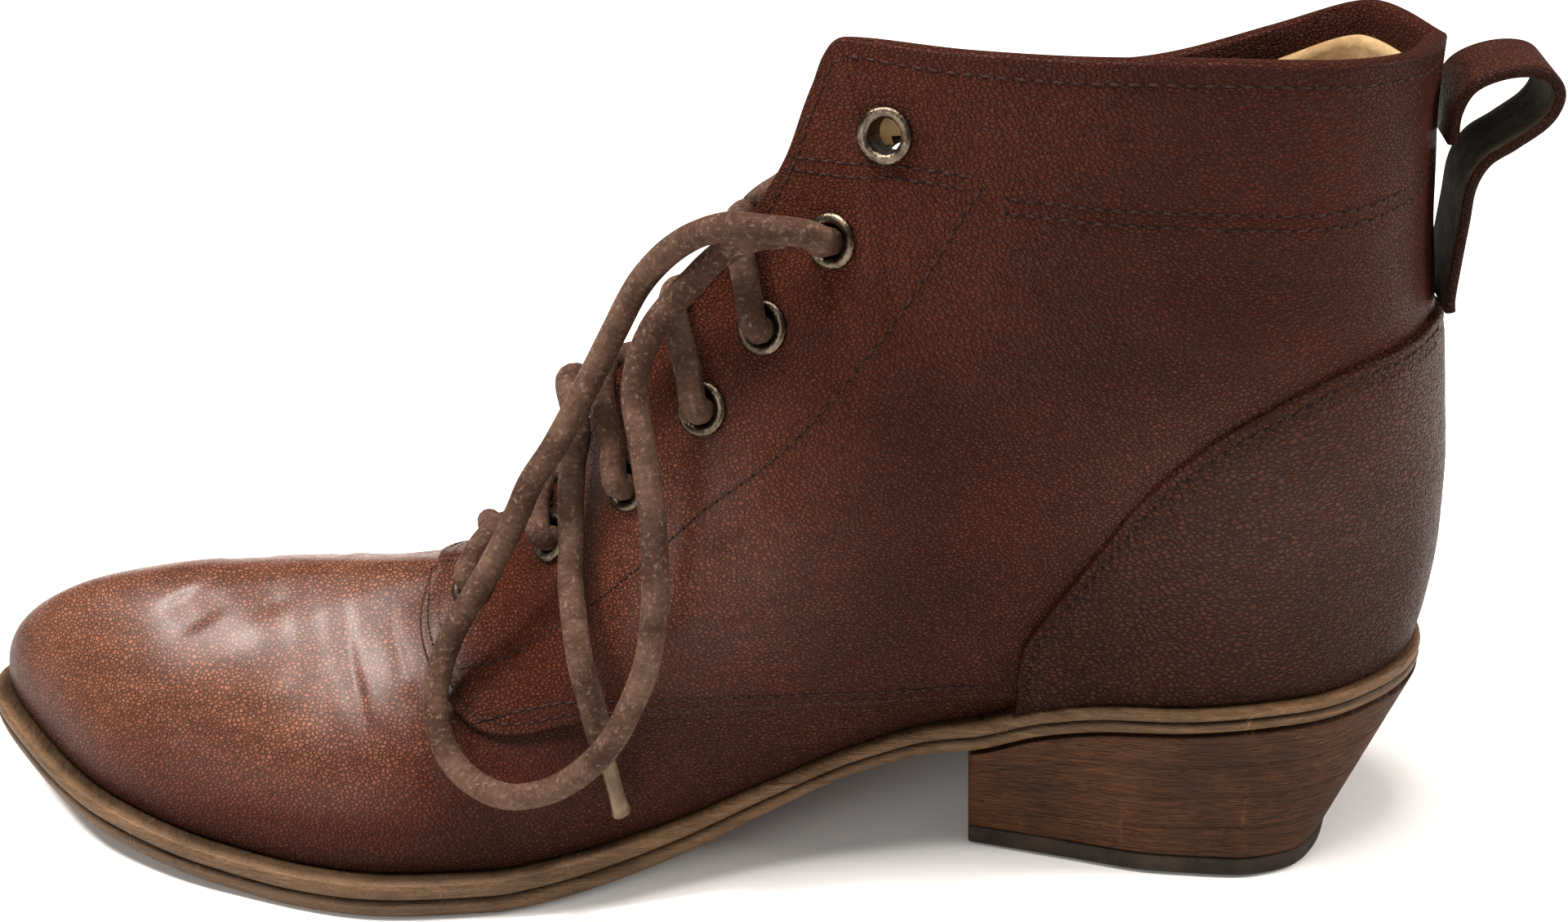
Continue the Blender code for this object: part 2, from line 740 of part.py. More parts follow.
def eyelet_seat(side, row):
    place, below, proud = EYELETS[row]
    seat, normal = on_last(side, place, below)
    return seat + normal * proud, normal


def turned_ring(name, seat, normal, section, slot, sides=RING_SIDES):
    """A ring turned about a normal from a closed section of (radius, height) pairs."""
    turn = Vector(normal).to_track_quat("Z", "Y")
    points = []
    for radius, height in section:
        for k in range(sides):
            angle = 2 * math.pi * k / sides
            spot = turn @ Vector((radius * math.cos(angle), radius * math.sin(angle), height))
            points.append(np.array(seat) + np.array(spot))
    faces = []
    for k in range(len(section)):
        faces += ring_faces(k * sides, ((k + 1) % len(section)) * sides, sides)
    return add_mesh(name, points, faces, slot)


def make_eyelets():
    """Turned brass rings, each with its barrel through quarter and upper."""
    outer = LAYER_GAP + OVERLAY + GAP
    inner = -WALL - GAP
    hole = EYELET_HOLE / 2
    rim = EYELET_WIDTH / 2
    barrel = hole + EYELET_WALL
    section = [
        (hole, inner), (barrel, inner), (barrel, outer), (rim, outer),
        (rim - 0.3, outer + 0.7 * EYELET_LIP), (0.5 * (rim + hole), outer + EYELET_LIP),
        (hole + 0.2, outer + 0.7 * EYELET_LIP),
    ]
    for side, word in ((-1, "medial"), (1, "lateral")):
        for row in range(len(EYELETS)):
            seat, normal = eyelet_seat(side, row)
            turned_ring(f"eyelet_{word}_{row + 1}", seat, normal, section, "aged_brass")


def hole_cutter():
    """All eyelet holes as one object of separate plugs."""
    reach = 4 * WALL
    radius = EYELET_HOLE / 2 + EYELET_WALL + GAP
    points = []
    faces = []
    for side in (-1, 1):
        for row in range(len(EYELETS)):
            seat, normal = eyelet_seat(side, row)
            turn = Vector(normal).to_track_quat("Z", "Y")
            start = len(points)
            for height in (-reach, reach):
                for k in range(RING_SIDES):
                    angle = 2 * math.pi * k / RING_SIDES
                    spot = turn @ Vector((radius * math.cos(angle), radius * math.sin(angle), height))
                    points.append(seat + np.array(spot))
            faces += ring_faces(start, start + RING_SIDES, RING_SIDES)
            faces.append(tuple(range(start, start + RING_SIDES)))
            faces.append(tuple(range(start + RING_SIDES, start + 2 * RING_SIDES)))
    return add_mesh("cutter_eyelets", points, faces, "aged_brass")


def make_upper():
    upper = shell("upper", -WALL, 0.0, "brown_leather")
    cut(upper, HOLES, "DIFFERENCE")


def make_quarters():
    """One overlay for each side, from the vamp's seam to the seam up the back."""
    beyond = HEEL_BACK + BALL_WIDTH
    above = 1.5 * SHAFT_HEIGHT
    front = TOE + SOLE_LENGTH * QUARTER_EDGE[0, 0]
    behind = TOE + SOLE_LENGTH * QUARTER_EDGE[-1, 0]
    block = side_prism("cutter_quarters", QUARTER_EDGE, [(behind, 0.0), (beyond, 0.0), (beyond, above), (front, above)])
    sides = {
        "quarter_medial": range(QUARTER_START, STATIONS + 1),
        "quarter_lateral": range(STATIONS, 2 * STATIONS - QUARTER_START + 1),
    }
    for name, columns in sides.items():
        quarter = patch(name, columns, LAYER_GAP, LAYER_GAP + OVERLAY, "brown_leather")
        side = -1 if name == "quarter_medial" else 1
        for vertex in quarter.data.vertices:
            if abs(vertex.co.y) < 2 * GAP * METRE and vertex.co.x > 0:
                vertex.co.y = side * GAP * METRE / 2
        cut(quarter, block, "INTERSECT")
        cut(quarter, HOLES, "DIFFERENCE")


def make_counter():
    columns = range(STATIONS - COUNTER_REACH, STATIONS + COUNTER_REACH + 1)
    low = 2 * LAYER_GAP + OVERLAY
    counter = patch("counter", columns, low, low + OVERLAY, "counter_leather")
    beyond = HEEL_BACK + BALL_WIDTH
    front = TOE + SOLE_LENGTH * COUNTER_EDGE[0, 0]
    top = SHAFT_HEIGHT * COUNTER_EDGE[-1, 1]
    block = side_prism("cutter_counter", COUNTER_EDGE, [(beyond, top), (beyond, 0.0), (front, 0.0)])
    cut(counter, block, "INTERSECT")


def make_tongue():
    """A sheet bridging the throat behind both flaps, read from the last's own surface."""
    under = -WALL - 4 * GAP - TONGUE_WALL / 2
    rows = []
    for place in np.linspace(0.15, COLLAR_CORNER - 0.4, 18):
        ends = []
        pulls = []
        for side in (-1, 1):
            seat, normal = on_last(side, place, TONGUE_REACH)
            nearer, near_normal = on_last(side, place, TONGUE_REACH / 2)
            seat = seat + normal * under
            nearer = nearer + near_normal * under
            ends.append(seat)
            pulls.append(nearer + (nearer - seat) * 0.6)
        row = []
        for t in np.linspace(0, 1, 9):
            row.append((1 - t)**3 * ends[0] + 3 * (1 - t)**2 * t * pulls[0]
                       + 3 * (1 - t) * t**2 * pulls[1] + t**3 * ends[1])
        rows.append(row)
    sheet = np.array(rows)
    across = np.gradient(sheet, axis=1)
    upwards = np.gradient(sheet, axis=0)
    normal = np.cross(across, upwards)
    normal /= np.linalg.norm(normal, axis=2)[:, :, None]
    half = TONGUE_WALL / 2
    return sheet_solid("tongue", sheet + normal * half, sheet - normal * half, "brown_leather")


def tube(name, points, radius, slot):
    """A closed round bar along a route, its section carried along without twist."""
    points = np.asarray(points)
    along = np.gradient(points, axis=0)
    along /= np.linalg.norm(along, axis=1)[:, None]
    side = np.cross(along[0], [0.0, 0.0, 1.0])
    rings = []
    for spot, way in zip(points, along):
        side = side - way * side.dot(way)
        side /= np.linalg.norm(side)
        other = np.cross(way, side)
        angle = 2 * math.pi * np.arange(LACE_SIDES) / LACE_SIDES
        rings.append(spot + radius * (np.cos(angle)[:, None] * side + np.sin(angle)[:, None] * other))
    faces = [tuple(range(LACE_SIDES)), tuple((len(points) - 1) * LACE_SIDES + k for k in range(LACE_SIDES))]
    for k in range(len(points) - 1):
        faces += ring_faces(k * LACE_SIDES, (k + 1) * LACE_SIDES, LACE_SIDES)
    return add_mesh(name, np.concatenate(rings), faces, slot)


def strand_route(side, row):
    """From outside an eyelet over its flap's edge and on across the throat."""
    place, below, proud = EYELETS[row]
    onward = EYELETS[row + 1, 0] - place
    on_quarter = LAYER_GAP + OVERLAY + GAP + LACE_WIDTH / 2
    on_eyelet = on_quarter + proud + GAP + EYELET_LIP
    rim = below - EYELET_WIDTH / 2
    route = []
    for share, depth, height in ((0.0, below, on_eyelet), (0.04, rim, on_eyelet)):
        point, normal = on_last(side, place + share * onward, depth)
        route.append(point + normal * height)
    for share, across, lift in STRAND_ACROSS:
        near, near_normal = on_last(side, place + share * onward, 0)
        far, far_normal = on_last(-side, place + share * onward, 0)
        normal = near_normal if across == 0 else near_normal + far_normal
        normal /= np.linalg.norm(normal)
        route.append(near + (far - near) * across + normal * (on_quarter + lift))
    return smooth_route(route, STRAND_POINTS)


def make_crossings():
    """Where the lace crosses the throat: two strands joined in one solid for each pair of rows."""
    for row in range(LACED_ROWS - 1):
        first = tube(f"lace_crossing_{row + 1}", strand_route(-1, row), LACE_WIDTH / 2, "waxed_cord")
        second = tube(f"cutter_strand_{row + 1}", strand_route(1, row), LACE_WIDTH / 2, "waxed_cord")
        cut(first, second, "UNION")


def cord(name, points):
    """One round cord, read evenly from a smooth curve through its route."""
    run = np.linalg.norm(np.diff(points, axis=0), axis=1).sum()
    count = int(run / (2.2 * LACE_WIDTH)) + 2
    curve = bpy.data.curves.new(name, "CURVE")
    curve.dimensions = "3D"
    curve.bevel_depth = METRE * LACE_WIDTH / 2
    curve.bevel_resolution = 2
    curve.use_fill_caps = True
    line = curve.splines.new("POLY")
    line.points.add(count - 1)
    for point, spot in zip(line.points, smooth_route(points, count)):
        point.co = (*(METRE * float(v) for v in spot), 1.0)
    curve.materials.append(material("waxed_cord"))
    made = bpy.data.objects.new(name, curve)
    bpy.context.scene.collection.objects.link(made)


def make_cords():
    cord("lace_loop", LOOP_CORD)
    cord("lace_end", END_CORD)
    last = np.array(END_CORD[-1])
    way = np.array(TIP_END) - last
    way /= np.linalg.norm(way)
    start = last + way * GAP
    tube("lace_tip", [start, start + way * AGLET_LENGTH], AGLET_WIDTH / 2, "clear_tip")


def make_pull_loop():
    """A strap sewn on the collar's back, out and round, and down to the counter's top."""
    back = SURFACE[:, STATIONS]
    route = smooth_route(LOOP_ROUTE, 40) * STRAP_WIDTH
    z = SHAFT_HEIGHT + route[:, 1]
    x = np.interp(z, back[:, 2], back[:, 0]) + LAYER_GAP + OVERLAY + GAP + STRAP_WALL / 2 + route[:, 0]
    line = np.column_stack([x, z])
    along = np.gradient(line, axis=0)
    along /= np.linalg.norm(along, axis=1)[:, None]
    side = np.column_stack([-along[:, 1], along[:, 0]])
    rings = []
    for y, off in ((-1, -1), (-1, 1), (1, 1), (1, -1)):
        edge = line + side * off * STRAP_WALL / 2
        rings.append(np.column_stack([edge[:, 0], np.full(len(edge), y * STRAP_WIDTH / 2), edge[:, 1]]))
    count = len(line)
    faces = []
    for k in range(4):
        n = (k + 1) % 4
        for i in range(count - 1):
            faces.append((k * count + i, k * count + i + 1, n * count + i + 1, n * count + i))
    faces.append(tuple(k * count for k in range(4)))
    faces.append(tuple(k * count + count - 1 for k in range(4)))
    return add_mesh("pull_loop", np.concatenate(rings), faces, "strap_leather")


clear_scene()
SURFACE = last_grid()
NORMALS = grid_normals(SURFACE)
HOLES = hole_cutter()
make_outsole()
make_welt()
make_insole()
make_heel()
make_top_piece()
make_upper()
make_quarters()
make_counter()
make_tongue()
make_pull_loop()
make_eyelets()
make_crossings()
make_cords()
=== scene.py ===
"""Looks of the lace-up ankle boot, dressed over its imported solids."""

import math

import bmesh
import bpy
import numpy as np
from mathutils import Matrix, Vector
from mathutils.kdtree import KDTree


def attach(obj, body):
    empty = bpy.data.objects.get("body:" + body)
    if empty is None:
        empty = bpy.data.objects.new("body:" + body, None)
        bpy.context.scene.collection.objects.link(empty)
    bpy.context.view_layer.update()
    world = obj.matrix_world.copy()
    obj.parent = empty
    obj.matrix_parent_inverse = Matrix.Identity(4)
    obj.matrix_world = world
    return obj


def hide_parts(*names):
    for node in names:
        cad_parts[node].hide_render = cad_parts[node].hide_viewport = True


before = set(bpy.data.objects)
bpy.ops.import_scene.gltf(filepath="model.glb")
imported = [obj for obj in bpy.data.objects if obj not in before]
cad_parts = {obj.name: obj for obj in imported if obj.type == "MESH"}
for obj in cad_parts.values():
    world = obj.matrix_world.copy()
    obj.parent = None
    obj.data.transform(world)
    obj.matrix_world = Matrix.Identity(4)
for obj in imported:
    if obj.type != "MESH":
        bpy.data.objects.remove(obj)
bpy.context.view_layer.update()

# Sizes in millimetres, as the solids have them
MM = 0.001
SOLE_LENGTH = 272.5
HALF_BALL = 94.4 / 2
BREAST_HEIGHT = 22.7
SOLE_EDGE = 7.2
OUTSOLE_SHARE = 0.55
SHAFT_HEIGHT = 149.0
LATERAL_DROP = 13.0
COLLAR_WIDTH = 55.0
THROAT_GAP = 22.0
THROAT_OFFSET = 4.0
HEEL_BACK = 48.0
HEEL_BASE_LENGTH = 67.0
HEEL_BASE_WIDTH = 54.0
TOP_PIECE = 4.0
LIFTS = 4
WALL = 2.0
GAP = 0.3
QUARTER_TOP = 1.5
COUNTER_TOP = 3.0
INNER_FACE = -1.9
LINING_FACE = -2.6
LINING_DROP = 4.6
WELT_WIDTH = 9.0
INSOLE = 2.8
LACE_WIDTH = 4.6
STRAP_WIDTH = 16.0
STRAP_WALL = 1.8
AGLET_LENGTH = 14.0
AGLET_WIDTH = 3.4
TONGUE_REACH = 22.6
COLLAR_CORNER = 9.0
TOE = HEEL_BACK - SOLE_LENGTH
LEATHER_HOLE = 3.2
LINING_HOLE = 3.0
EYELET_DEPTH = 4.5
HOLE_REACH = 9.0
HOLE_DEPTH = 6.0
TONGUE_HALF = 0.85
ROW_PITCH = 2.6
SEAM_PITCH = 2.5
RIM_PITCH = 2.8

# Fineness of the shown surfaces: stations toe to heel, and rows up the ribs
N = 300
L = 110
STATIONS = np.arange(N + 1) / N
UPPER_ROWS = 96
QUARTER_STEPS, QUARTER_ROWS, INNER_ROWS = 250, 84, 40
COUNTER_ROWS = 60
LINING_ROWS = 60
TONGUE_ROWS, TONGUE_STEPS = 60, 25
CORD_SIDES = 14

OUTLINE = np.array([
    (0, 0.02, 0.02), (0.035, -0.31, 0.34), (0.117, -0.68, 0.66), (0.205, -0.88, 0.85), (0.319, -1.01, 0.98),
    (0.389, -0.97, 0.99), (0.451, -0.89, 0.965), (0.51, -0.775, 0.91), (0.572, -0.655, 0.815),
    (0.631, -0.572, 0.725), (0.697, -0.522, 0.655), (0.76, -0.56, 0.63), (0.84, -0.622, 0.63),
    (0.91, -0.565, 0.565), (0.965, -0.39, 0.39), (1, 0, 0),
])
PROFILE = np.array([
    (0, 0.54, 0.86, 1.9), (0.068, 0.3, 0.92, 1.9), (0.117, 0.175, 0.96, 1.9), (0.193, 0.05, 0.99, 1.9),
    (0.255, 0, 1, 1.9), (0.391, 0, 1, 1.8), (0.42, 0.04, 1, 1.7), (0.475, 0.175, 0.99, 1.4),
    (0.508, 0.28, 0.97, 1.1), (0.538, 0.41, 0.93, 0.9), (0.571, 0.575, 0.84, 0.8), (0.629, 0.85, 0.72, 0.9),
    (0.673, 0.975, 0.74, 1.1), (0.699, 1, 0.78, 1.4), (0.75, 1.21, 0.72, 1.9), (0.795, 1.315, 0.69, 2.2),
    (0.861, 1.375, 0.66, 2.3), (1, 1.425, 0.66, 2.3),
])
OPENING = np.array([
    (0.347, 0.302, 0, 0, 0, 0), (0.369, 0.322, 0.15, 0, 0, 0.1), (0.409, 0.39, 0.35, 0, 0.1, 0.25),
    (0.432, 0.445, 0.48, 0, 0.2, 0.35), (0.4715, 0.584, 0.65, 0, 0.3, 0.5),
    (0.521, 0.698, 0.8, 0, 0.35, 0.7), (0.565, 0.799, 0.9, 0, 0.35, 0.9), (0.591, 0.88, 0.95, 0, 0.35, 1),
    (0.605, 0.951, 1, 0, 0.33, 1.05), (0.6205, 1.003, 1.05, 0, 0.3, 1.1), (0.692, 1.008, 0, 0.8, 0.1, 1.25),
    (0.787, 1.01, 0, 1, 0, 1.3), (0.883, 1.004, 0, 0.95, 0, 0.75), (0.94, 0.994, 0, 0.6, 0, 0.1),
    (0.965, 0.983, 0, 0, 0, 0),
])
RIBS = np.array([
    (0, 0, 0.018, 0.165, -0.34, 0, -0.004), (0.035, 0.2, 0.016, 0.16, -0.29, 0.03, 0.002),
    (0.117, 0.45, 0.014, 0.14, -0.18, 0.08, 0.022), (0.205, 0.7, 0.012, 0.12, -0.09, 0.11, 0.045),
    (0.319, 1.05, 0.01, 0.12, -0.03, 0.125, 0.055), (0.389, 1.8, 0.012, 0.135, 0.01, 0.13, 0.07),
    (0.451, 3.2, 0.018, 0.18, 0.025, 0.13, 0.085), (0.51, 4.5, 0.028, 0.24, 0.04, 0.125, 0.11),
    (0.572, 6, 0.04, 0.3, 0.06, 0.115, 0.16), (0.6, 7.5, 0.044, 0.32, 0.066, 0.105, 0.2),
    (0.631, 9, 0.048, 0.34, 0.07, 0.095, 0.24), (0.697, 9.8, 0.04, 0.35, 0.05, 0.05, 0.28),
    (0.76, 10.6, 0.028, 0.35, 0.015, 0.02, 0.3), (0.84, 11.5, 0.022, 0.31, 0, 0.005, 0.3),
    (0.91, 12.4, 0.028, 0.28, 0, 0, 0.29), (0.965, 13.3, 0.04, 0.26, 0, -0.005, 0.28),
    (1, 14, 0.05, 0.25, 0, -0.01, 0.27),
])
EYELETS = np.array([
    (1.2, 8.5, 0.9), (2.65, 8.5, 0.2), (3.95, 17.8, 0), (4.9, 18, 0), (5.75, 15.5, 0), (7.45, 19.5, 0),
    (9.3, 14.5, 0.4),
])
QUARTER_EDGE = np.array([
    (0.343, 0.42), (0.337, 0.32), (0.332, 0.292), (0.337, 0.265), (0.358, 0.232), (0.388, 0.208),
    (0.42, 0.215), (0.45, 0.234), (0.49, 0.247), (0.53, 0.248), (0.58, 0.24), (0.65, 0.228), (0.708, 0.224),
    (0.755, 0.222),
])
COUNTER_EDGE = np.array([
    (0.73, 0.2), (0.732, 0.3), (0.744, 0.348), (0.76, 0.396), (0.782, 0.46), (0.8, 0.516), (0.818, 0.555),
    (0.845, 0.6), (0.872, 0.631), (0.909, 0.668), (0.945, 0.676), (1.02, 0.67),
])
HEEL_BASE = np.array([
    (0, -0.77, 0.98), (0.25, -0.91, 1), (0.5, -1.04, 1.02), (0.7, -1.06, 1), (0.85, -0.97, 0.9),
    (0.95, -0.68, 0.64), (1, 0, 0),
])
LOOP_ROUTE = np.array([
    (0, -1.12), (0.02, -0.8), (0.16, -0.54), (0.5, -0.4), (0.84, -0.42), (0.99, -0.62), (0.9, -0.88),
    (0.6, -1.12), (0.34, -1.3), (0.2, -1.56), (0.14, -1.94), (0.06, -2.42), (0, -2.8), (0, -2.94),
])
LOOP_CORD = [
    (-57.6, -26, 121.3), (-60.9, -28, 123.4), (-66.4, -30, 124.9), (-73.5, -28.8, 124.8),
    (-81.8, -21.5, 118.7), (-88.7, -18, 110.8), (-94.1, -17.5, 101), (-99.5, -18.5, 90.8),
    (-104.7, -20.5, 81.7), (-109.1, -22, 75.3), (-111.5, -23, 70.2), (-115, -23, 63.2),
    (-118.8, -24.5, 56.7), (-123.3, -26, 49.5), (-126.1, -28.5, 43.4), (-127.2, -32.5, 38),
    (-125.4, -38.2, 32.9), (-120.3, -43.7, 29.2), (-112.9, -46, 26.8), (-104.2, -46, 28.8),
    (-95, -47.4, 37.8), (-90, -45, 46.2), (-87.1, -42.5, 54.4), (-86, -38.5, 66.2), (-86.6, -34.5, 77.9),
    (-88.1, -30.5, 87.1), (-89.4, -26.5, 95.6), (-86.6, -23, 104.3), (-79.7, -21.5, 112.4),
    (-73.7, -22.8, 118.5), (-68.5, -22.6, 120.7), (-63.9, -22.3, 120.9),
]
END_CORD = [
    (-60, 24, 107.4), (-64, 28.5, 99), (-72, 31, 86), (-82, 31.5, 73.5), (-94, 28.8, 64),
    (-101.8, 22.2, 64.8), (-104.5, 14.5, 73), (-104.5, 6.5, 81.5), (-105.2, -3, 85.2), (-102, -13.8, 81.1),
    (-102.8, -16.5, 75.7), (-103, -20, 69.5), (-102.7, -23, 64.7), (-102.1, -29.5, 58), (-99.7, -38.6, 50.2),
    (-98, -41.2, 44.6), (-97.1, -41.8, 40), (-96.2, -42.1, 35.3),
]
TIP_END = (-93.4, -42.6, 19.5)


# Curves and rings, as in the CAD

def unit(v):
    return v / np.linalg.norm(v, axis=-1)[..., None]


def run_along(line):
    """How far along a line each of its points is."""
    return np.concatenate([[0], np.cumsum(np.linalg.norm(np.diff(line, axis=0), axis=1))])


def pick(at, run, values):
    """Values of a line's points, read at any run along it."""
    return np.stack([np.interp(at, run, values[:, a]) for a in range(values.shape[1])], axis=-1)


def hermite(t, h, y, tangent, k):
    """The cubic from each k-th value to the next one, with their slopes."""
    return ((2 * t**3 - 3 * t**2 + 1) * y[k] + (t**3 - 2 * t**2 + t) * h * tangent[k]
            + (3 * t**2 - 2 * t**3) * y[k + 1] + (t**3 - t**2) * h * tangent[k + 1])


def bezier(a, b, c, d, count):
    return np.array([(1 - t)**3 * a + 3 * (1 - t)**2 * t * b + 3 * (1 - t) * t**2 * c + t**3 * d
                     for t in np.linspace(0, 1, count)])


def column(side, k):
    """The grids' column at a station of one side: they run round from toe to heel and back."""
    return k if side < 0 else (2 * N - k) % (2 * N)


def read_smooth(table, at):
    """A table's values at any place in its first column, by a curve that doesn't overshoot."""
    x, y = table[:, 0], table[:, 1:]
    step = np.diff(x)[:, None]
    slope = np.diff(y, axis=0) / step
    before, after = slope[:-1], slope[1:]
    left = 2 * step[1:] + step[:-1]
    right = step[1:] + 2 * step[:-1]
    same = before * after > 0
    weight = left / np.where(same, before, 1) + right / np.where(same, after, 1)
    inner = np.where(same, (left + right) / np.where(same, weight, 1), 0)
    tangent = np.concatenate([slope[:1], inner, slope[-1:]])
    at = np.clip(np.atleast_1d(at), x[0], x[-1])
    k = np.clip(np.searchsorted(x, at, side="right") - 1, 0, len(x) - 2)
    return hermite(((at - x[k]) / (x[k + 1] - x[k]))[:, None], step[k], y, tangent, k)


def turned(share):
    return np.arccos(np.clip(1 - 2 * np.asarray(share, float), -1, 1))


def smooth_route(points, count):
    """A smooth line through the points, with evenly spaced points of its own."""
    p = np.asarray(points, float)
    at = np.concatenate([[0], np.cumsum(np.sqrt(np.linalg.norm(np.diff(p, axis=0), axis=1)))])
    tangent = np.zeros_like(p)
    tangent[1:-1] = (p[2:] - p[:-2]) / (at[2:] - at[:-2])[:, None]
    tangent[0] = (p[1] - p[0]) / (at[1] - at[0])
    tangent[-1] = (p[-1] - p[-2]) / (at[-1] - at[-2])
    fine = np.linspace(0, at[-1], 60 * len(p))
    k = np.clip(np.searchsorted(at, fine, side="right") - 1, 0, len(at) - 2)
    h = (at[k + 1] - at[k])[:, None]
    return even(hermite((fine - at[k])[:, None] / h, h, p, tangent, k), count)


def even(line, count):
    """The same line with evenly spaced points."""
    run = run_along(line)
    return pick(np.linspace(0, run[-1], count), run, line)


def outline_sides(shares):
    table = np.column_stack([turned(OUTLINE[:, 0]), OUTLINE[:, 1:]])
    return read_smooth(table, turned(shares)) * HALF_BALL


def shares_at(x):
    """Shares of the sole's length, from its toe, at lengths along X."""
    return np.clip((x - TOE) / SOLE_LENGTH, 0, 1)


def around(medial, lateral):
    return np.concatenate([medial, lateral[1:-1][::-1]])


def profile(shares):
    under, edge, ledge = read_smooth(PROFILE, shares).T
    return under * BREAST_HEIGHT, edge * SOLE_EDGE, ledge * WALL


def outward(ring):
    along = np.roll(ring, -1, axis=0) - np.roll(ring, 1, axis=0)
    normal = unit(np.column_stack([along[:, 1], -along[:, 0]]))
    return -normal if ((ring - ring.mean(axis=0)) * normal).sum() < 0 else normal


def sole_ring(inset, height, shares):
    sides = outline_sides(shares)
    x = TOE + SOLE_LENGTH * shares
    ring = around(np.column_stack([x, sides[:, 0]]), np.column_stack([x, sides[:, 1]]))
    far = np.asarray(inset, float)
    if far.ndim:
        far = around(far, far)[:, None]
    flat = ring - outward(ring) * far
    under, edge, _ = profile(shares_at(flat[:, 0]))
    return np.column_stack([flat, under + edge * height])


def opening_edge(places, side):
    table = np.column_stack([np.arange(len(OPENING)), OPENING])
    along, up, throat, collar, middle, drop = read_smooth(table, places).T
    x = TOE + SOLE_LENGTH * along
    y = side * (throat * THROAT_GAP + collar * COLLAR_WIDTH) / 2 - middle * THROAT_OFFSET
    z = up * SHAFT_HEIGHT - (drop * LATERAL_DROP if side > 0 else 0)
    return np.column_stack([x, y, z])


def rib_shares():
    fine = np.linspace(0, math.pi, 1441)
    shares = (1 - np.cos(fine)) / 2
    edge = read_smooth(RIBS, shares)[:, 0]
    spread = fine / math.pi + edge / edge[-1]
    found = np.interp(np.linspace(0, 2, N + 1), spread, shares)
    corner = np.argmin(np.abs(np.interp(found, shares, edge) - COLLAR_CORNER))
    found[corner] = np.interp(COLLAR_CORNER, edge, shares)
    return found


# The last's surface, then the foot's traces on it

SHARES = rib_shares()
EDGE = read_smooth(RIBS, SHARES)[:, 0]


def last_grid():
    _, _, ledge = profile(SHARES)
    foot = sole_ring(ledge, 1.0, SHARES)
    foot[:, 2] += 2 * GAP
    normal = outward(foot[:, :2])
    edge, *shape = read_smooth(RIBS, SHARES).T
    top = around(opening_edge(edge, -1), opening_edge(edge, 1))
    bulge, rise, lean, out, fall = (around(v, v)[:, None] * SHAFT_HEIGHT for v in shape)
    flat = np.column_stack([normal, np.zeros(len(normal))])
    first = foot + flat * bulge + np.array([[0, 0, 1.0]]) * rise
    second = top + flat * out + np.array([[1.0, 0, 0]]) * lean - np.array([[0, 0, 1.0]]) * fall
    return bezier(foot, first, second, top, L + 1)


def grid_normals(grid):
    round_way = np.roll(grid, -2, axis=1) - np.roll(grid, 2, axis=1)
    up_way = np.gradient(grid, axis=0)
    normal = np.cross(round_way, up_way)
    normal[0, :, 2] = 0
    normal /= np.linalg.norm(normal, axis=2)[:, :, None] + 1e-12
    normal[-4:] = normal[-5]
    for _ in range(4):
        normal = normal + np.roll(normal, 1, axis=1) + np.roll(normal, -1, axis=1)
        normal[1:-1] = normal[1:-1] * 2 + normal[:-2] + normal[2:]
        normal = unit(normal)
    return -normal if normal[L // 3, N // 2, 1] > 0 else normal


def from_line(points, route):
    """Distance of points from a route, and how far along it as a share of its length."""
    p = points.reshape(-1, 3)
    route = np.asarray(route, float)
    best = np.full(len(p), 1e9)
    place = np.zeros(len(p))
    run = run_along(route)
    for k in range(len(route) - 1):
        a = route[k]
        d = route[k + 1] - a
        t = np.clip(((p - a) @ d) / (d @ d), 0, 1)
        far = np.linalg.norm(p - a - t[:, None] * d, axis=1)
        near = far < best
        best[near] = far[near]
        place[near] = ((run[k] + t * (run[k + 1] - run[k])) / run[-1])[near]
    return best.reshape(points.shape[:-1]), place.reshape(points.shape[:-1])


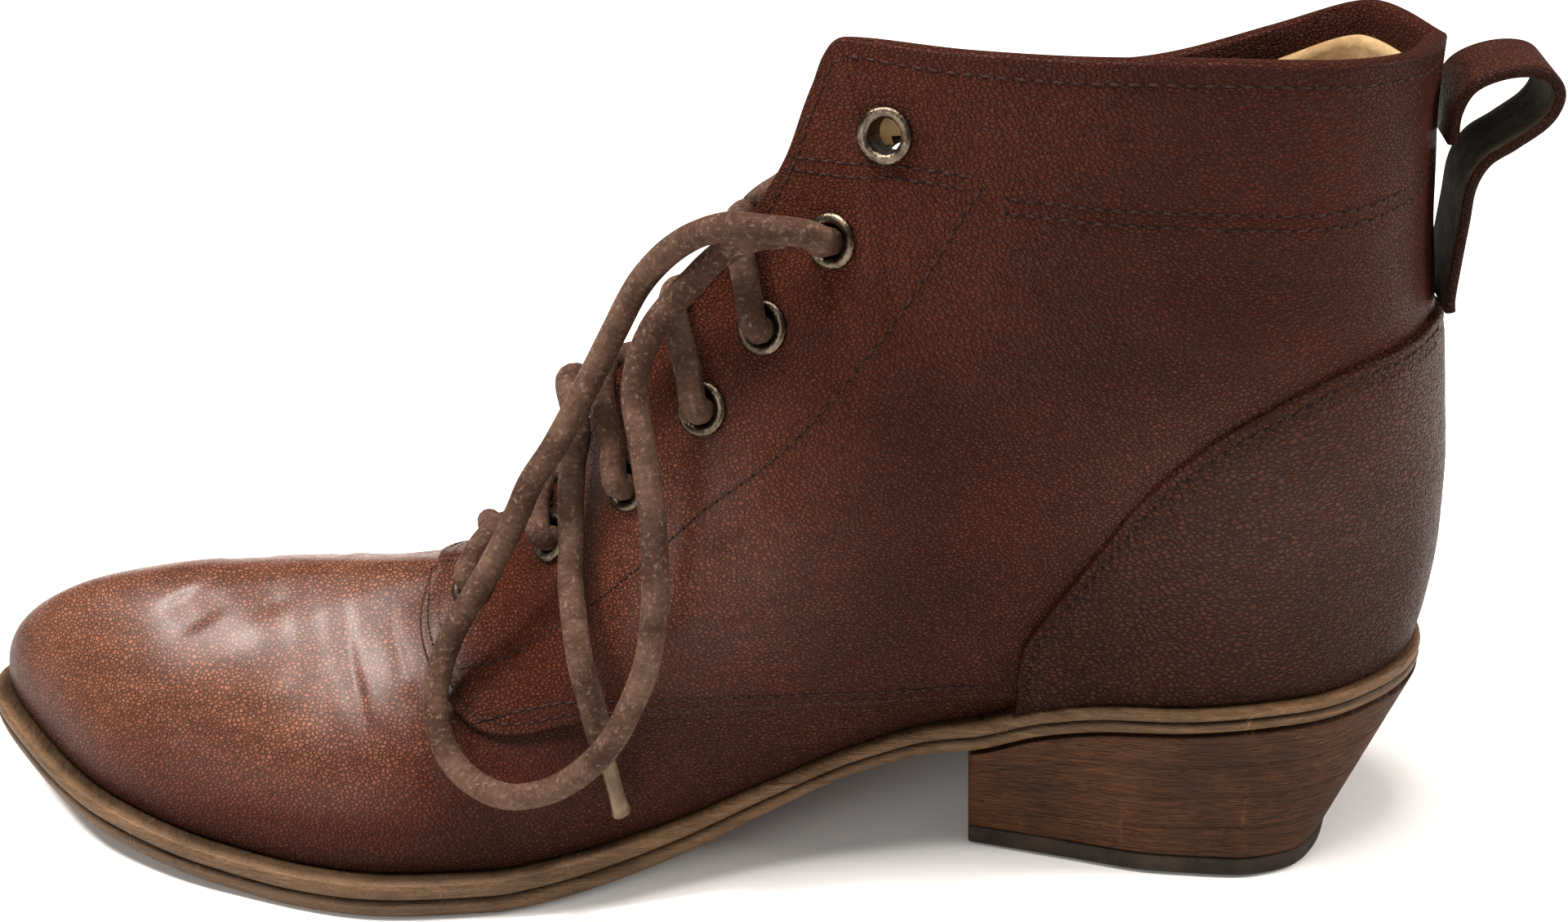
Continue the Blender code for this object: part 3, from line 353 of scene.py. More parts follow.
# Creases of wear: route, depth (a trough is below nought) and half width, in millimetres
CREASES = [
    ([(-157, -4, 44), (-153.4, -15.7, 38.8), (-150.5, -25.3, 32.8), (-147.6, -34.8, 25.4)], -0.2, 1.8),
    ([(-150.8, -3, 44), (-147, -17.3, 38.3), (-142.8, -27.2, 32.5), (-139.2, -35.6, 26.2)], -0.34, 1.2),
    ([(-142.6, 0, 45), (-139.7, -13, 41), (-136.3, -20.9, 37.3), (-134, -28, 32)], -0.2, 1.3),
    ([(-134.3, -23.9, 35.9), (-132.4, -30.5, 31.6), (-129.5, -36, 26.8), (-125.5, -40.5, 20.5)], -0.45, 2.2),
    ([(-163.3, -4, 43), (-159.3, -17, 37.7), (-157, -25, 32.4)], -0.22, 2.2),
    ([(-157, 4, 44), (-153, 15, 38), (-149, 26, 31), (-146, 34, 24)], -0.38, 2.2),
    ([(-150.8, 6, 43.5), (-146, 18, 37), (-141, 28, 30)], -0.48, 1.8),
    ([(-153.6, 5, 43.5), (-149.5, 17, 37.5), (-145, 28, 30.5)], 0.25, 2.2),
    ([(-142.6, 6, 43.5), (-138, 15, 39), (-133, 25, 33)], -0.34, 1.7),
    ([(-181.9, -5, 41.8), (-175, -13, 38)], -0.4, 4),
    ([(-170.1, 2, 44), (-161.7, -12, 40)], -0.34, 3.6),
    ([(-178, 8, 41), (-168, 12, 40)], -0.35, 5),
    ([(-87.7, -33.5, 53.4), (-82.1, -34.8, 49.5), (-74, -34.2, 44.4), (-62, -33, 42)], -0.5, 3.4),
    ([(-92, -33, 60), (-84, -34, 57), (-74, -33, 53), (-62, -31, 52)], 0.45, 3.6),
    ([(-70, -28, 86), (-60, -29, 78), (-48, -29, 72)], -0.45, 4),
    ([(-57.5, -27.7, 99), (-46.2, -28.2, 90.3), (-36, -28.7, 84)], -0.5, 4),
    ([(-28.9, -27.7, 92), (-32.6, -27, 72), (-35, -25.6, 54)], -0.5, 5),
    ([(-10, -28, 118), (6, -28, 112), (24, -26, 108)], -0.55, 4.5),
    ([(-12, -28, 108), (4, -28, 102), (20, -27, 99)], 0.4, 4),
    ([(36, -17, 132), (43, -10, 122), (46, -4, 112)], -0.6, 3.4),
    ([(30, -23, 122), (37, -16, 114), (43, -8, 108)], -0.5, 3.4),
    ([(-88, 32, 52), (-76, 33, 46), (-64, 32, 43)], -0.5, 3.6),
    ([(-70, 28, 78), (-56, 29, 70), (-44, 29, 66)], -0.45, 4.5),
    ([(-50, 28, 92), (-36, 29, 84), (-22, 29, 82)], -0.45, 4.5),
    ([(-8, 28, 104), (8, 28, 98), (24, 26, 98)], -0.45, 4.5),
]


def wear_relief(points):
    """How far the worn leather stands off the last, from its creases and a soft unevenness."""
    out = np.zeros(points.shape[:-1])
    for route, depth, half in CREASES:
        far, place = from_line(points, smooth_route(route, 24))
        ends = np.clip(np.minimum(place, 1 - place) * 5, 0.05, 1)
        out += depth * np.exp(-(far / half)**2) * ends
    x, y, z = (points[..., a] for a in range(3))
    out += 0.16 * np.sin(x / 9.0 + 1.7 * np.sin(z / 14.0)) * np.sin(z / 11.0 + y / 13.0)
    out += 0.08 * np.sin(x / 4.1 + z / 5.3) * np.sin(z / 4.7 - y / 6.0)
    return out


BASE = last_grid()
NORMALS = grid_normals(BASE)
FADE = np.clip(np.linspace(0, 1, L + 1) / 0.08, 0, 1)[:, None]  # No wear at the feather line
SURFACE = BASE + NORMALS * (wear_relief(BASE) * FADE)[:, :, None]
RIB_LENGTH = np.linalg.norm(np.diff(BASE, axis=0), axis=2).sum(axis=0)


def spot(side, u, t, grid=None):
    """Points and normals on one side, at shares round the sole and up the ribs."""
    grid = SURFACE if grid is None else grid
    u, t = np.broadcast_arrays(np.asarray(u, float), np.asarray(t, float))
    c = np.clip(u, 0, 1) * N
    c0 = np.minimum(c.astype(int), N - 1)
    r = np.clip(t, 0, 1) * L
    r0 = np.minimum(r.astype(int), L - 1)
    fc = (c - c0)[..., None]
    fr = (r - r0)[..., None]
    here, onward = column(side, c0), column(side, c0 + 1)

    def mix(a):
        low, high = (a[k, here] * (1 - fc) + a[k, onward] * fc for k in (r0, r0 + 1))
        return low * (1 - fr) + high * fr

    return mix(grid), unit(mix(NORMALS))


def rib_down(side, place, distance):
    """Point and normal a distance below the opening's edge, measured down the rib."""
    p, n = spot(side, np.interp(place, EDGE, STATIONS), np.linspace(1, 0, 400))
    run = run_along(p)
    normal = pick(distance, run, n)
    return pick(distance, run, p), normal / np.linalg.norm(normal)


def off(side, place, distance, lift):
    """A point that stands off the last, at a distance below the opening's edge."""
    p, n = rib_down(side, place, distance)
    return p + n * lift


def finder(side):
    """A tree of one side's points as seen from the side, and the shares that they stand for."""
    u, t = np.meshgrid(STATIONS, np.arange(L + 1) / L)
    p, _ = spot(side, u, t, BASE)
    tree = KDTree(u.size)
    for k, (x, _, z) in enumerate(p.reshape(-1, 3)):
        tree.insert((x, 0, z), k)
    tree.balance()
    return tree, u.ravel(), t.ravel()


FINDERS = {side: finder(side) for side in (-1, 1)}


def find(side, line):
    """Shares (u, t) of a line given as seen from the side, in x and z."""
    tree, us, ts = FINDERS[side]
    out = []
    for x, z in line:
        near = tree.find_n((x, 0, z), 4)
        weight = np.array([1 / (d + 0.05) for _, _, d in near])
        weight /= weight.sum()
        index = [i for _, i, _ in near]
        out.append((us[index] @ weight, ts[index] @ weight))
    out = np.array(out)
    for _ in range(3):
        out[1:-1] = (out[:-2] + 2 * out[1:-1] + out[2:]) / 4
    return out


def seen_line(table, count):
    """A line of the CAD's side view in millimetres."""
    line = smooth_route(table, count)
    return np.column_stack([TOE + SOLE_LENGTH * line[:, 0], SHAFT_HEIGHT * line[:, 1]])


def in_polygon(x, z, polygon):
    inside = np.zeros(x.shape, bool)
    for (ax, az), (bx, bz) in zip(polygon, np.roll(polygon, -1, axis=0)):
        crossing = (az > z) != (bz > z)
        at = ax + (z - az) / (bz - az + 1e-12) * (bx - ax)
        inside ^= crossing & (x < at)
    return inside


def rib_lengths(side, u):
    return RIB_LENGTH[column(side, np.round(np.clip(u, 0, 1) * N).astype(int))]


# Meshes: each piece is one or more grids laid over rows of points

WEAR_AND_HIGHLIGHT, EDGE_DARK, RUN, TURN = 3, 4, 5, 6
WELD = 1e-6


def cloth(points, wear_and_highlight=0.0, dark=0.0):
    """Rows of points with their wear and painted highlight, darkness, run and turn beside them."""
    points = np.asarray(points, float)
    out = np.zeros(points.shape[:2] + (7,))
    out[..., :3] = points
    out[..., WEAR_AND_HIGHLIGHT] = wear_and_highlight
    out[..., EDGE_DARK] = dark
    return out


def begin():
    work = bmesh.new()
    work.loops.layers.uv.new("UVMap")
    work.verts.layers.float.new("wear_and_highlight")
    work.verts.layers.float.new("edge")
    return work


def lay(work, rows, around=False, hoop=False, slot_of=None, mapped=False):
    """Lay a grid over rows; around joins its first and last column, hoop its first and last row."""
    if around:
        rows = np.concatenate([rows, rows[:, :1]], axis=1)
        rows[:, -1, TURN] = 1.0
    if hoop:
        rows = np.concatenate([rows, rows[:1]], axis=0)
    high, wide = rows.shape[:2]
    verts = bmesh.ops.create_grid(work, x_segments=wide - 1, y_segments=high - 1, size=1.0)["verts"]
    wear_and_highlight = work.verts.layers.float["wear_and_highlight"]
    edge = work.verts.layers.float["edge"]
    values = rows.reshape(-1, 7).tolist()
    for vert, (x, y, z, w, e, _, _) in zip(verts, values):
        vert.co = (x * MM, y * MM, z * MM)
        vert[wear_and_highlight] = w
        vert[edge] = e
    if not (mapped or slot_of):
        return
    layer = work.loops.layers.uv.active
    work.verts.index_update()
    first = verts[0].index
    for face in {f for v in verts for f in v.link_faces}:
        spots = [loop.vert.index - first for loop in face.loops]
        if mapped:
            for loop, spot_ in zip(face.loops, spots):
                loop[layer].uv = (values[spot_][RUN], values[spot_][TURN])
        if slot_of:
            face.material_index = slot_of(min(s // wide for s in spots), min(s % wide for s in spots))


def put(name, data):
    """A new object in the scene."""
    made = bpy.data.objects.new(name, data)
    bpy.context.scene.collection.objects.link(made)
    return made


def open_eyelets(work, radius):
    """Take out the leather inside every eyelet's barrel."""
    gone = set()
    for seat, normal, _ in HOLES:
        centre = Vector(seat) * MM
        axis = Vector(normal)
        for vert in work.verts:
            arm = vert.co - centre
            if arm.length_squared < (HOLE_REACH * MM)**2:
                up = arm.dot(axis)
                if abs(up) < HOLE_DEPTH * MM and (arm - axis * up).length < radius * MM:
                    gone.update(vert.link_faces)
    bmesh.ops.delete(work, geom=list(gone), context="FACES")


def done(work, name, mats, nodes=()):
    """Make the piece, put it on the boot's one body and hide the solids it stands for."""
    mesh = bpy.data.meshes.new(name)
    work.to_mesh(mesh)
    work.free()
    for m in mats if isinstance(mats, (list, tuple)) else [mats]:
        mesh.materials.append(m)
    mesh.shade_smooth()
    made = put(name, mesh)
    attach(made, "root")
    if nodes:
        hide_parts(*([nodes] if isinstance(nodes, str) else nodes))
    return made


def nodes_of(start):
    return [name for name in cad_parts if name.startswith(start)]


def piece(name, grids, mats, slot, nodes=(), hole=None, **how):
    """A whole piece: grids laid, their meeting rows joined, open ends filled and eyelets' holes cut."""
    work = begin()
    for rows in grids:
        lay(work, rows, **how)
    bmesh.ops.remove_doubles(work, verts=work.verts[:], dist=WELD)
    rim = [e for e in work.edges if e.is_boundary]
    if rim:
        bmesh.ops.holes_fill(work, edges=rim, sides=0)
    bmesh.ops.recalc_face_normals(work, faces=work.faces[:])
    if hole:
        open_eyelets(work, hole)
    return done(work, name, mats, nodes)


# Each eyelet's seat on the last, its normal and how proud it stands
HOLES = [(*rib_down(side, place, below), proud) for side in (-1, 1) for place, below, proud in EYELETS]


# Shaders

class Wire:
    """An output socket that takes part in sums, products and the like."""

    def __init__(self, look, socket):
        self.look = look
        self.socket = socket

    def math(self, operation, *others):
        values = (self, *others)
        return self.look.node("ShaderNodeMath", dict(enumerate(values)), operation=operation)

    def __add__(self, other):
        return self.math("ADD", other)

    def __mul__(self, other):
        return self.math("MULTIPLY", other)

    def __sub__(self, other):
        return self.math("SUBTRACT", other)

    def __rsub__(self, other):
        return self * -1.0 + other

    def sin(self):
        return self.math("SINE")

    def least(self, other):
        return self.math("MINIMUM", other)

    def step(self, low, high):
        """Smooth step from nought at one value to one at the other."""
        values = {0: self, 1: low, 2: high, 3: 0.0, 4: 1.0}
        return self.look.node("ShaderNodeMapRange", values, interpolation_type="SMOOTHSTEP")


class Look:
    """One material while it is made."""

    def __init__(self, name):
        self.material = bpy.data.materials.new(name)
        self.material.use_nodes = True
        self.tree = self.material.node_tree
        self.shader = self.tree.nodes["Principled BSDF"]

    def plug(self, target, value):
        if isinstance(value, Wire):
            self.tree.links.new(value.socket, target)
        elif target.type == "RGBA":
            target.default_value = (*value, 1.0)
        else:
            target.default_value = value

    def node(self, kind, values=None, output=0, **settings):
        made = self.tree.nodes.new(kind)
        for key, value in settings.items():
            setattr(made, key, value)
        for key, value in (values or {}).items():
            self.plug(made.inputs[key], value)
        return Wire(self, made.outputs[output])

    def place(self, scale=(1, 1, 1), turn=(0, 0, 0)):
        coords = self.node("ShaderNodeTexCoord", output="Object")
        return self.node("ShaderNodeMapping", {"Vector": coords, "Scale": scale, "Rotation": turn})

    def noise(self, scale, detail=3.0, rough=0.55, at=None, distort=0.0):
        values = {"Vector": at or self.place(), "Scale": scale, "Detail": detail, "Roughness": rough,
                  "Distortion": distort}
        return self.node("ShaderNodeTexNoise", values)

    def cells(self, scale, at=None):
        values = {"Vector": at or self.place(), "Scale": scale}
        return self.node("ShaderNodeTexVoronoi", values, "Distance", feature="DISTANCE_TO_EDGE")

    def value(self, name):
        return self.node("ShaderNodeAttribute", None, "Fac", attribute_name=name)

    def run_and_turn(self):
        there = self.node("ShaderNodeUVMap", uv_map="UVMap")
        return [self.node("ShaderNodeSeparateXYZ", {0: there}, k) for k in (0, 1)]

    def mix(self, share, first, second):
        return self.node("ShaderNodeMix", {0: share, 6: first, 7: second}, 2, data_type="RGBA")

    def bump(self, *layers):
        """Heights with their depths in metres, one over the other."""
        last = None
        for height, depth in layers:
            values = {"Height": height, "Distance": depth, "Strength": 1.0}
            if last:
                values["Normal"] = last
            last = self.node("ShaderNodeBump", values)
        self.plug(self.shader.inputs["Normal"], last)

    def finish(self, **values):
        for key, value in values.items():
            self.plug(self.shader.inputs[key.replace("_", " ")], value)
        return self.material


def shade(colour, by):
    return tuple(min(1.0, v * by) for v in colour)


def leather(name, dark, light, tan, grain=1150.0, depth=0.00044, coat=0.4, rough=0.46):
    """Waxed calf: cloudy dye, tan where polish has rubbed thin and in painted highlight patches, dark at its
    edges, pebbled and finely creased, with painted shade between the pebbles and painted highlight on their
    tops.
    """
    m = Look(name)
    cloud = m.noise(26.0, 4.0, 0.6).step(0.36, 0.66)
    speck = m.noise(420.0, 4.0, 0.7).step(0.35, 0.72)
    smear = m.noise(75.0, 5.0, 0.7, m.place((1.0, 1.0, 4.0))).step(0.38, 0.72)
    wear_and_highlight = m.value("wear_and_highlight")
    edge = m.value("edge")
    pebbles = m.cells(grain, m.place((1.0, 1.0, 1.5), (0.3, 0.5, 0.2))).step(0.0, 0.2)
    pores = m.noise(grain * 1.6, 3.0, 0.6)
    folds = m.noise(300.0, 5.0, 0.65, m.place((2.6, 0.8, 0.7), (0.1, 0.25, 0.1)), 0.5)
    colour = m.mix(cloud * 0.7 + speck * 0.25, dark, light)
    # Tan by the wear mask: wear on the toe and flex, painted highlight on the front quarter and counter.
    colour = m.mix((wear_and_highlight * (smear * 0.5 + 0.5)).least(1.0), colour, tan)
    colour = m.mix((edge * (speck * 0.2 + 0.75)).least(0.95), colour, shade(dark, 0.3))
    # Painted shade in the gaps between the pebbles.
    colour = m.mix((1.0 - pebbles) * 0.42, colour, shade(dark, 0.45))
    colour = m.mix((folds.step(0.6, 0.72) * wear_and_highlight) * 0.3, colour, shade(tan, 1.35))
    scuff = m.noise(95.0, 6.0, 0.75, m.place((1.0, 2.2, 1.0), (0.4, 0.9, 0.2))).step(0.66, 0.75)
    colour = m.mix(scuff * (wear_and_highlight * 0.35 + 0.07), colour, shade(tan, 1.4))
    # Painted highlight on the pebbles' tops.
    pebble_highlight = pebbles * pores.step(0.5, 0.64)
    colour = m.mix(pebble_highlight * (wear_and_highlight * 0.45 + 0.05), colour, shade(tan, 1.6))
    m.bump((m.noise(60.0, 3.0, 0.5), 0.0008), (folds * (wear_and_highlight * 0.8 + 0.2), 0.0006),
           (pebbles + pores * 0.5, depth))
    roughness = speck * 0.12 + edge * 0.14 + (rough - 0.04) - wear_and_highlight * 0.1
    return m.finish(Base_Color=colour, Roughness=roughness, Coat_Weight=wear_and_highlight * coat + 0.02,
                    Coat_Roughness=0.33, Specular_IOR_Level=0.05)


def edge_leather(name, dark, light, streak, rough=0.52, depth=0.00025, coat=0.12):
    """Dressed sole leather: its layers along the edge, scratched, rubbed light with a painted highlight
    along the edge's middle, and dirty in its grooves.
    """
    m = Look(name)
    along = m.place(streak)
    layers = m.noise(60.0, 7.0, 0.75, along).step(0.3, 0.72)
    fine = m.noise(300.0, 4.0, 0.7, along).step(0.35, 0.7)
    dirt = m.noise(38.0, 5.0, 0.7).step(0.42, 0.7)
    scratch = m.noise(130.0, 5.0, 0.8, m.place((3.0, 1.0, 0.3), (0.5, 0.4, 0.9))).step(0.62, 0.7)
    wear_and_highlight = m.value("wear_and_highlight")
    colour = m.mix(layers * 0.6 + fine * 0.35, dark, light)
    colour = m.mix(dirt * 0.72, colour, shade(dark, 0.4))
    # Lighter where rubbed: wear, and a painted highlight along the edge's middle.
    colour = m.mix((wear_and_highlight * (fine * 0.6 + 0.3)).least(1.0), colour, shade(light, 1.7))
    colour = m.mix(m.value("edge") * 0.88, colour, shade(dark, 0.2))
    colour = m.mix(scratch * 0.6, colour, shade(light, 2.1))
    m.bump((layers, depth * 2.2), (fine - scratch * 0.6, depth), (m.noise(1300.0, 2.0), depth * 0.4))
    return m.finish(Base_Color=colour, Roughness=fine * 0.15 + rough - wear_and_highlight * 0.2, Coat_Weight=coat,
                    Coat_Roughness=0.3, Specular_IOR_Level=0.1)


def simple(name, dark, light, scale, rough, depth, metal=0.0):
    m = Look(name)
    spots = m.noise(scale, 5.0, 0.65).step(0.35, 0.7)
    fine = m.noise(scale * 7, 3.0, 0.6)
    m.bump((fine, depth), (spots, depth * 1.5))
    return m.finish(Base_Color=m.mix(spots, dark, light), Roughness=fine * 0.2 + rough - 0.1,
                    Metallic=metal, Specular_IOR_Level=0.15)


def waxed_cord():
    """Round plait of waxed cotton, dusty where it has been handled, with painted shade in the plait's
    grooves and painted highlight on stray fibres.
    """
    m = Look("waxed_cord")
    run, turn = m.run_and_turn()
    twist = run * (2 * math.pi / 2.6)
    spin = turn * (2 * math.pi * 4)
    plait = ((twist + spin).sin() * (twist - spin).sin()).step(-0.7, 0.9)
    fibre = m.noise(1100.0, 5.0, 0.75)
    dust = m.noise(95.0, 5.0, 0.65).step(0.36, 0.7)
    colour = m.mix(dust, (0.042, 0.019, 0.012), (0.108, 0.06, 0.04))
    # Painted shade in the plait's grooves.
    colour = m.mix((1.0 - plait) * 0.22, colour, (0.022, 0.01, 0.007))
    # Painted highlight on stray fibres.
    colour = m.mix(fibre.step(0.52, 0.68) * 0.42, colour, (0.3, 0.195, 0.14))
    m.bump((plait, 0.00007), (fibre, 0.00055))
    return m.finish(Base_Color=colour, Roughness=0.86 - dust * 0.1, Specular_IOR_Level=0.1)


VAMP = leather("brown_leather", (0.034, 0.0068, 0.0028), (0.061, 0.014, 0.006), (0.225, 0.085, 0.048))
COUNTER = leather("counter_leather", (0.032, 0.007, 0.0031), (0.059, 0.0155, 0.007), (0.165, 0.07, 0.044),
                  grain=850.0, depth=0.00065, rough=0.42)
STRAP = leather("strap_leather", (0.026, 0.007, 0.0035), (0.048, 0.014, 0.007), (0.11, 0.045, 0.025),
                coat=0.1)
FLESH = simple("strap_inside", (0.018, 0.014, 0.01), (0.048, 0.04, 0.029), 300.0, 0.85, 0.0002)
LINING = simple("lining_leather", (0.21, 0.12, 0.052), (0.36, 0.25, 0.122), 60.0, 0.72, 0.00015)
TONGUE = leather("tongue_leather", (0.2, 0.082, 0.036), (0.3, 0.135, 0.064), (0.42, 0.22, 0.12),
                 coat=0.1, rough=0.5)
SOLE = edge_leather("sole_leather", (0.036, 0.018, 0.008), (0.14, 0.078, 0.038), (0.35, 0.35, 4.0),
                    coat=0.06)
STACK = edge_leather("stacked_leather", (0.062, 0.021, 0.0065), (0.135, 0.05, 0.016), (0.1, 0.1, 14.0),
                     0.5, 0.0003, 0.05)
RUBBER = simple("heel_rubber", (0.012, 0.008, 0.006), (0.032, 0.021, 0.014), 120.0, 0.72, 0.0002)
THREAD = simple("thread", (0.014, 0.005, 0.003), (0.036, 0.014, 0.009), 400.0, 0.6, 0.0001)
# Dark discs of painted shade standing for the needle holes.
HOLE_SHADE = simple("needle_hole", (0.003, 0.001, 0.001), (0.007, 0.003, 0.002), 400.0, 0.9, 0.0001)
BRASS = simple("aged_brass", (0.055, 0.04, 0.028), (0.165, 0.13, 0.095), 420.0, 0.3, 0.00005, metal=1.0)
CORD = waxed_cord()
TIP = simple("clear_tip", (0.08, 0.048, 0.027), (0.2, 0.135, 0.08), 200.0, 0.35, 0.0001)


def leather_cloth(points, extra=0.0, wear_and_highlight_scale=1.0):
    """Tan wear on the toe and vamp, tan painted highlight on the front quarter and counter, and dark dye
    along the feather line.
    """
    x, z = points[..., 0], points[..., 2]
    toe = np.exp(-((x + 196) / 34)**2) * np.clip((z - 12) / 22, 0, 1)
    flex = np.exp(-((x + 150) / 20)**2) * np.clip((z - 16) / 16, 0, 1) * 0.8
    # The front-quarter patch and the patch at the counter paint a highlight in tan; the toe and flex patches
    # are wear.
    near = np.exp(-(((x + 84) / 22)**2 + ((z - 66) / 20)**2)) * 0.45
    back_highlight = np.exp(-(((x - 17) / 24)**2 + ((z - 72) / 20)**2)) * 0.55
    wear_and_highlight = np.clip(toe * 0.9 + flex + near + back_highlight, 0, 1)
    under, edge, _ = (v.reshape(x.shape) for v in profile(shares_at(x.ravel())))
    above = np.clip(z - under - edge, 0, 99)
    dark = np.exp(-above / 3) * 0.9 + np.exp(-above / 12) * 0.25 + 0.35 * np.exp(-((x + 222) / 7)**2)
    return cloth(points, wear_and_highlight * wear_and_highlight_scale, np.clip(dark + extra, 0, 1))


# Rows beside a cut edge: distance from it and height as a share, with a sewn dip
CUT_EDGE = [(0.0, -0.3), (0.0, 0.45), (0.12, 0.78), (0.35, 0.93), (0.8, 1.0), (1.4, 0.99), (2.0, 0.94),
            (2.6, 0.9), (3.3, 0.96), (4.3, 1.0)]


def roll_over(p, n, up, high, low, bulge=0.85):
    """Rows that carry a skin over a rim from one height off the last to another."""
    middle, radius = (high + low) / 2, (high - low) / 2
    return [p + n * (middle + radius * math.cos(a)) + up * (bulge * math.sin(a))
            for a in np.linspace(0, math.pi, 7)]


def quarter_start(side):
    """Where each rib enters the quarter, as a share of the rib."""
    line = seen_line(QUARTER_EDGE, 60)
    polygon = np.vstack([line, [(line[-1, 0], -40), (200, -40), (200, 260), (line[0, 0], 260)]])
    t = np.linspace(0, 1, 600)
    p, _ = spot(side, STATIONS, t[:, None], BASE)
    inside = in_polygon(p[..., 0], p[..., 2], polygon)
    first = np.where(inside.any(axis=0), t[np.argmax(inside, axis=0)], 1.0)
    for _ in range(6):
        soft = (first[:-2] + 2 * first[1:-1] + first[2:]) / 4
        first[1:-1] = np.where((first[1:-1] > 0) & (first[1:-1] < 1), soft, first[1:-1])
    return first


STARTS = {side: quarter_start(side) for side in (-1, 1)}
FRONT = 4.6 / 64  # The quarters begin at this share of the stations


def both_sides(t):
    """Points and normals right round the last at a share of each rib, medial side first."""
    t = np.broadcast_to(t, (2 * N,))
    low = np.minimum((t * L).astype(int), L - 1)
    f = (t * L - low)[:, None]
    c = np.arange(2 * N)
    p, n = (grid[low, c] * (1 - f) + grid[low + 1, c] * f for grid in (SURFACE, NORMALS))
    return p, unit(n)


def make_upper():
    """The vamp and what runs on under the quarters, with a folded rim at the throat's foot."""
    ends = np.ones(2 * N)
    ease = np.clip((STATIONS - FRONT) / 0.05, 0, 1)
    for side in (-1, 1):
        ends[column(side, np.arange(N + 1))] = (1 - ease) + ease * np.minimum(1, STARTS[side] + 0.12)
    outer, inner = [], []
    for k, share in enumerate(np.linspace(0, 1, UPPER_ROWS)):
        p, n = both_sides(ends * share)
        outer.append(p)
        if k % 2:
            inner.append(p + n * INNER_FACE)
    foot, n = both_sides(0.0)
    sunk = [foot + n * INNER_FACE - [0, 0, 0.4], foot - n - [0, 0, 0.6]]
    top, n = both_sides(ends)
    up = outer[-1] - outer[-3]
    up /= np.linalg.norm(up, axis=1)[:, None] + 1e-9
    points = np.array(sunk + outer + roll_over(top, n, up, 0.0, INNER_FACE)[1:-1] + inner[::-1])
    piece("upper_leather", [leather_cloth(points)], VAMP, "brown_leather", "upper", LEATHER_HOLE,
          around=True, hoop=True)


def make_lining():
    """Cream lining, its raw top edge a little below the folded rim."""
    drop = LINING_DROP / np.maximum(RIB_LENGTH, 20)
    inner, outer = [], []
    for share in np.linspace(0, 1, LINING_ROWS):
        p, n = both_sides((1 - drop) * share + 0.004)
        inner.append(p + n * LINING_FACE)
        outer.append(p + n * (INNER_FACE - 0.05))
    piece("lining", [cloth(inner + outer[::-1])], LINING, "lining_leather", hole=LINING_HOLE,
          around=True, hoop=True)


def make_quarter(side, node):
    """One quarter: a rounded sewn edge below, the rim rolled over the top, and its inner face."""
    u = np.linspace(FRONT, 1, QUARTER_STEPS)
    start = np.interp(u, STATIONS, STARTS[side])
    lengths = rib_lengths(side, u)
    shown = np.maximum(lengths * (1 - start), 3.0)
    rows, dark = [], []
    for far, share in CUT_EDGE:
        p, n = spot(side, u, start + (1 - start) * np.minimum(far / shown, 0.9))
        rows.append(p + n * (GAP + (QUARTER_TOP - GAP) * share))
        dark.append(0.55 if far < 0.4 else 0.12 + 0.2 * (0.98 - min(share, 0.98)) * 10)
    first = CUT_EDGE[-1][0] / shown
    last = np.maximum(1 - 0.4 / shown, first)
    for v in np.linspace(0, 1, QUARTER_ROWS)[1:]:
        p, n = spot(side, u, start + (1 - start) * (first + (last - first) * v))
        rows.append(p + n * QUARTER_TOP)
        dark.append(0.0)
    dark[-2:] = [0.12, 0.25]
    p, n = spot(side, u, 1.0)
    rim = roll_over(p, n, unit(p - spot(side, u, 0.985)[0]), QUARTER_TOP, INNER_FACE)
    rows += rim
    dark += [0.4] * len(rim)
    for v in np.linspace(0, 1, INNER_ROWS)[1:]:
        depth = np.minimum(0.8 + (shown - 1.6) * v, shown - 0.8)
        q, m = spot(side, u, 1 - depth / lengths)
        rows.append(q + m * INNER_FACE)
        dark.append(0.5)
    grid = leather_cloth(np.array(rows), np.array(dark)[:, None])
    piece(node + "_leather", [grid], VAMP, "brown_leather", node, LEATHER_HOLE, hoop=True)


def counter_rows(side):
    """Rows up the counter on one side, each from its front edge to the back of the heel."""
    found = find(side, seen_line(COUNTER_EDGE, 90))
    found = found[found[:, 0] < 0.998]
    curve = np.vstack([[found[0, 0], 0.0], found, [1.0, found[-1, 1]]])
    curve[:, 0] = np.maximum.accumulate(curve[:, 0])
    scale = np.array([180.0, 110.0])
    curve = even(curve * scale, 130) / scale
    bottom = curve[0, 0] + (1 - curve[0, 0]) * np.linspace(0, 1, len(curve))

    def at(share, height):
        p, n = spot(side, bottom + (curve[:, 0] - bottom) * share, curve[:, 1] * share)
        return p + n * height

    length = np.maximum(np.linalg.norm(at(1.0, 0.0) - at(0.0, 0.0), axis=1), 0.3)
    shares = [1 - np.minimum(far / length, 1.0) for far, _ in CUT_EDGE]
    inner = np.minimum.reduce(shares)
    under = QUARTER_TOP - 0.05
    rows = [at(0.0, COUNTER_TOP - 0.8) - [0, 0, 0.5]]
    rows += [at(inner * v, COUNTER_TOP) for v in np.linspace(0, 1, COUNTER_ROWS)[:-1]]
    for share, (_, high) in zip(shares[::-1], CUT_EDGE[::-1]):
        rows.append(at(share, QUARTER_TOP + (COUNTER_TOP - QUARTER_TOP) * max(high, -0.03)))
    rows += [at(v, under) for v in np.linspace(1, 0, 30)]
    return np.array(rows)


def make_counter():
    points = np.concatenate([counter_rows(-1), counter_rows(1)[:, -2::-1]], axis=1)
    dark = np.zeros(points.shape[:2])
    top = COUNTER_ROWS + len(CUT_EDGE)
    dark[top - 3:top + 1] = 0.55
    dark[top - 9:top - 3] = 0.16
    piece("counter_leather", [leather_cloth(points, dark, 0.3)], COUNTER, "counter_leather", "counter",
          hoop=True)


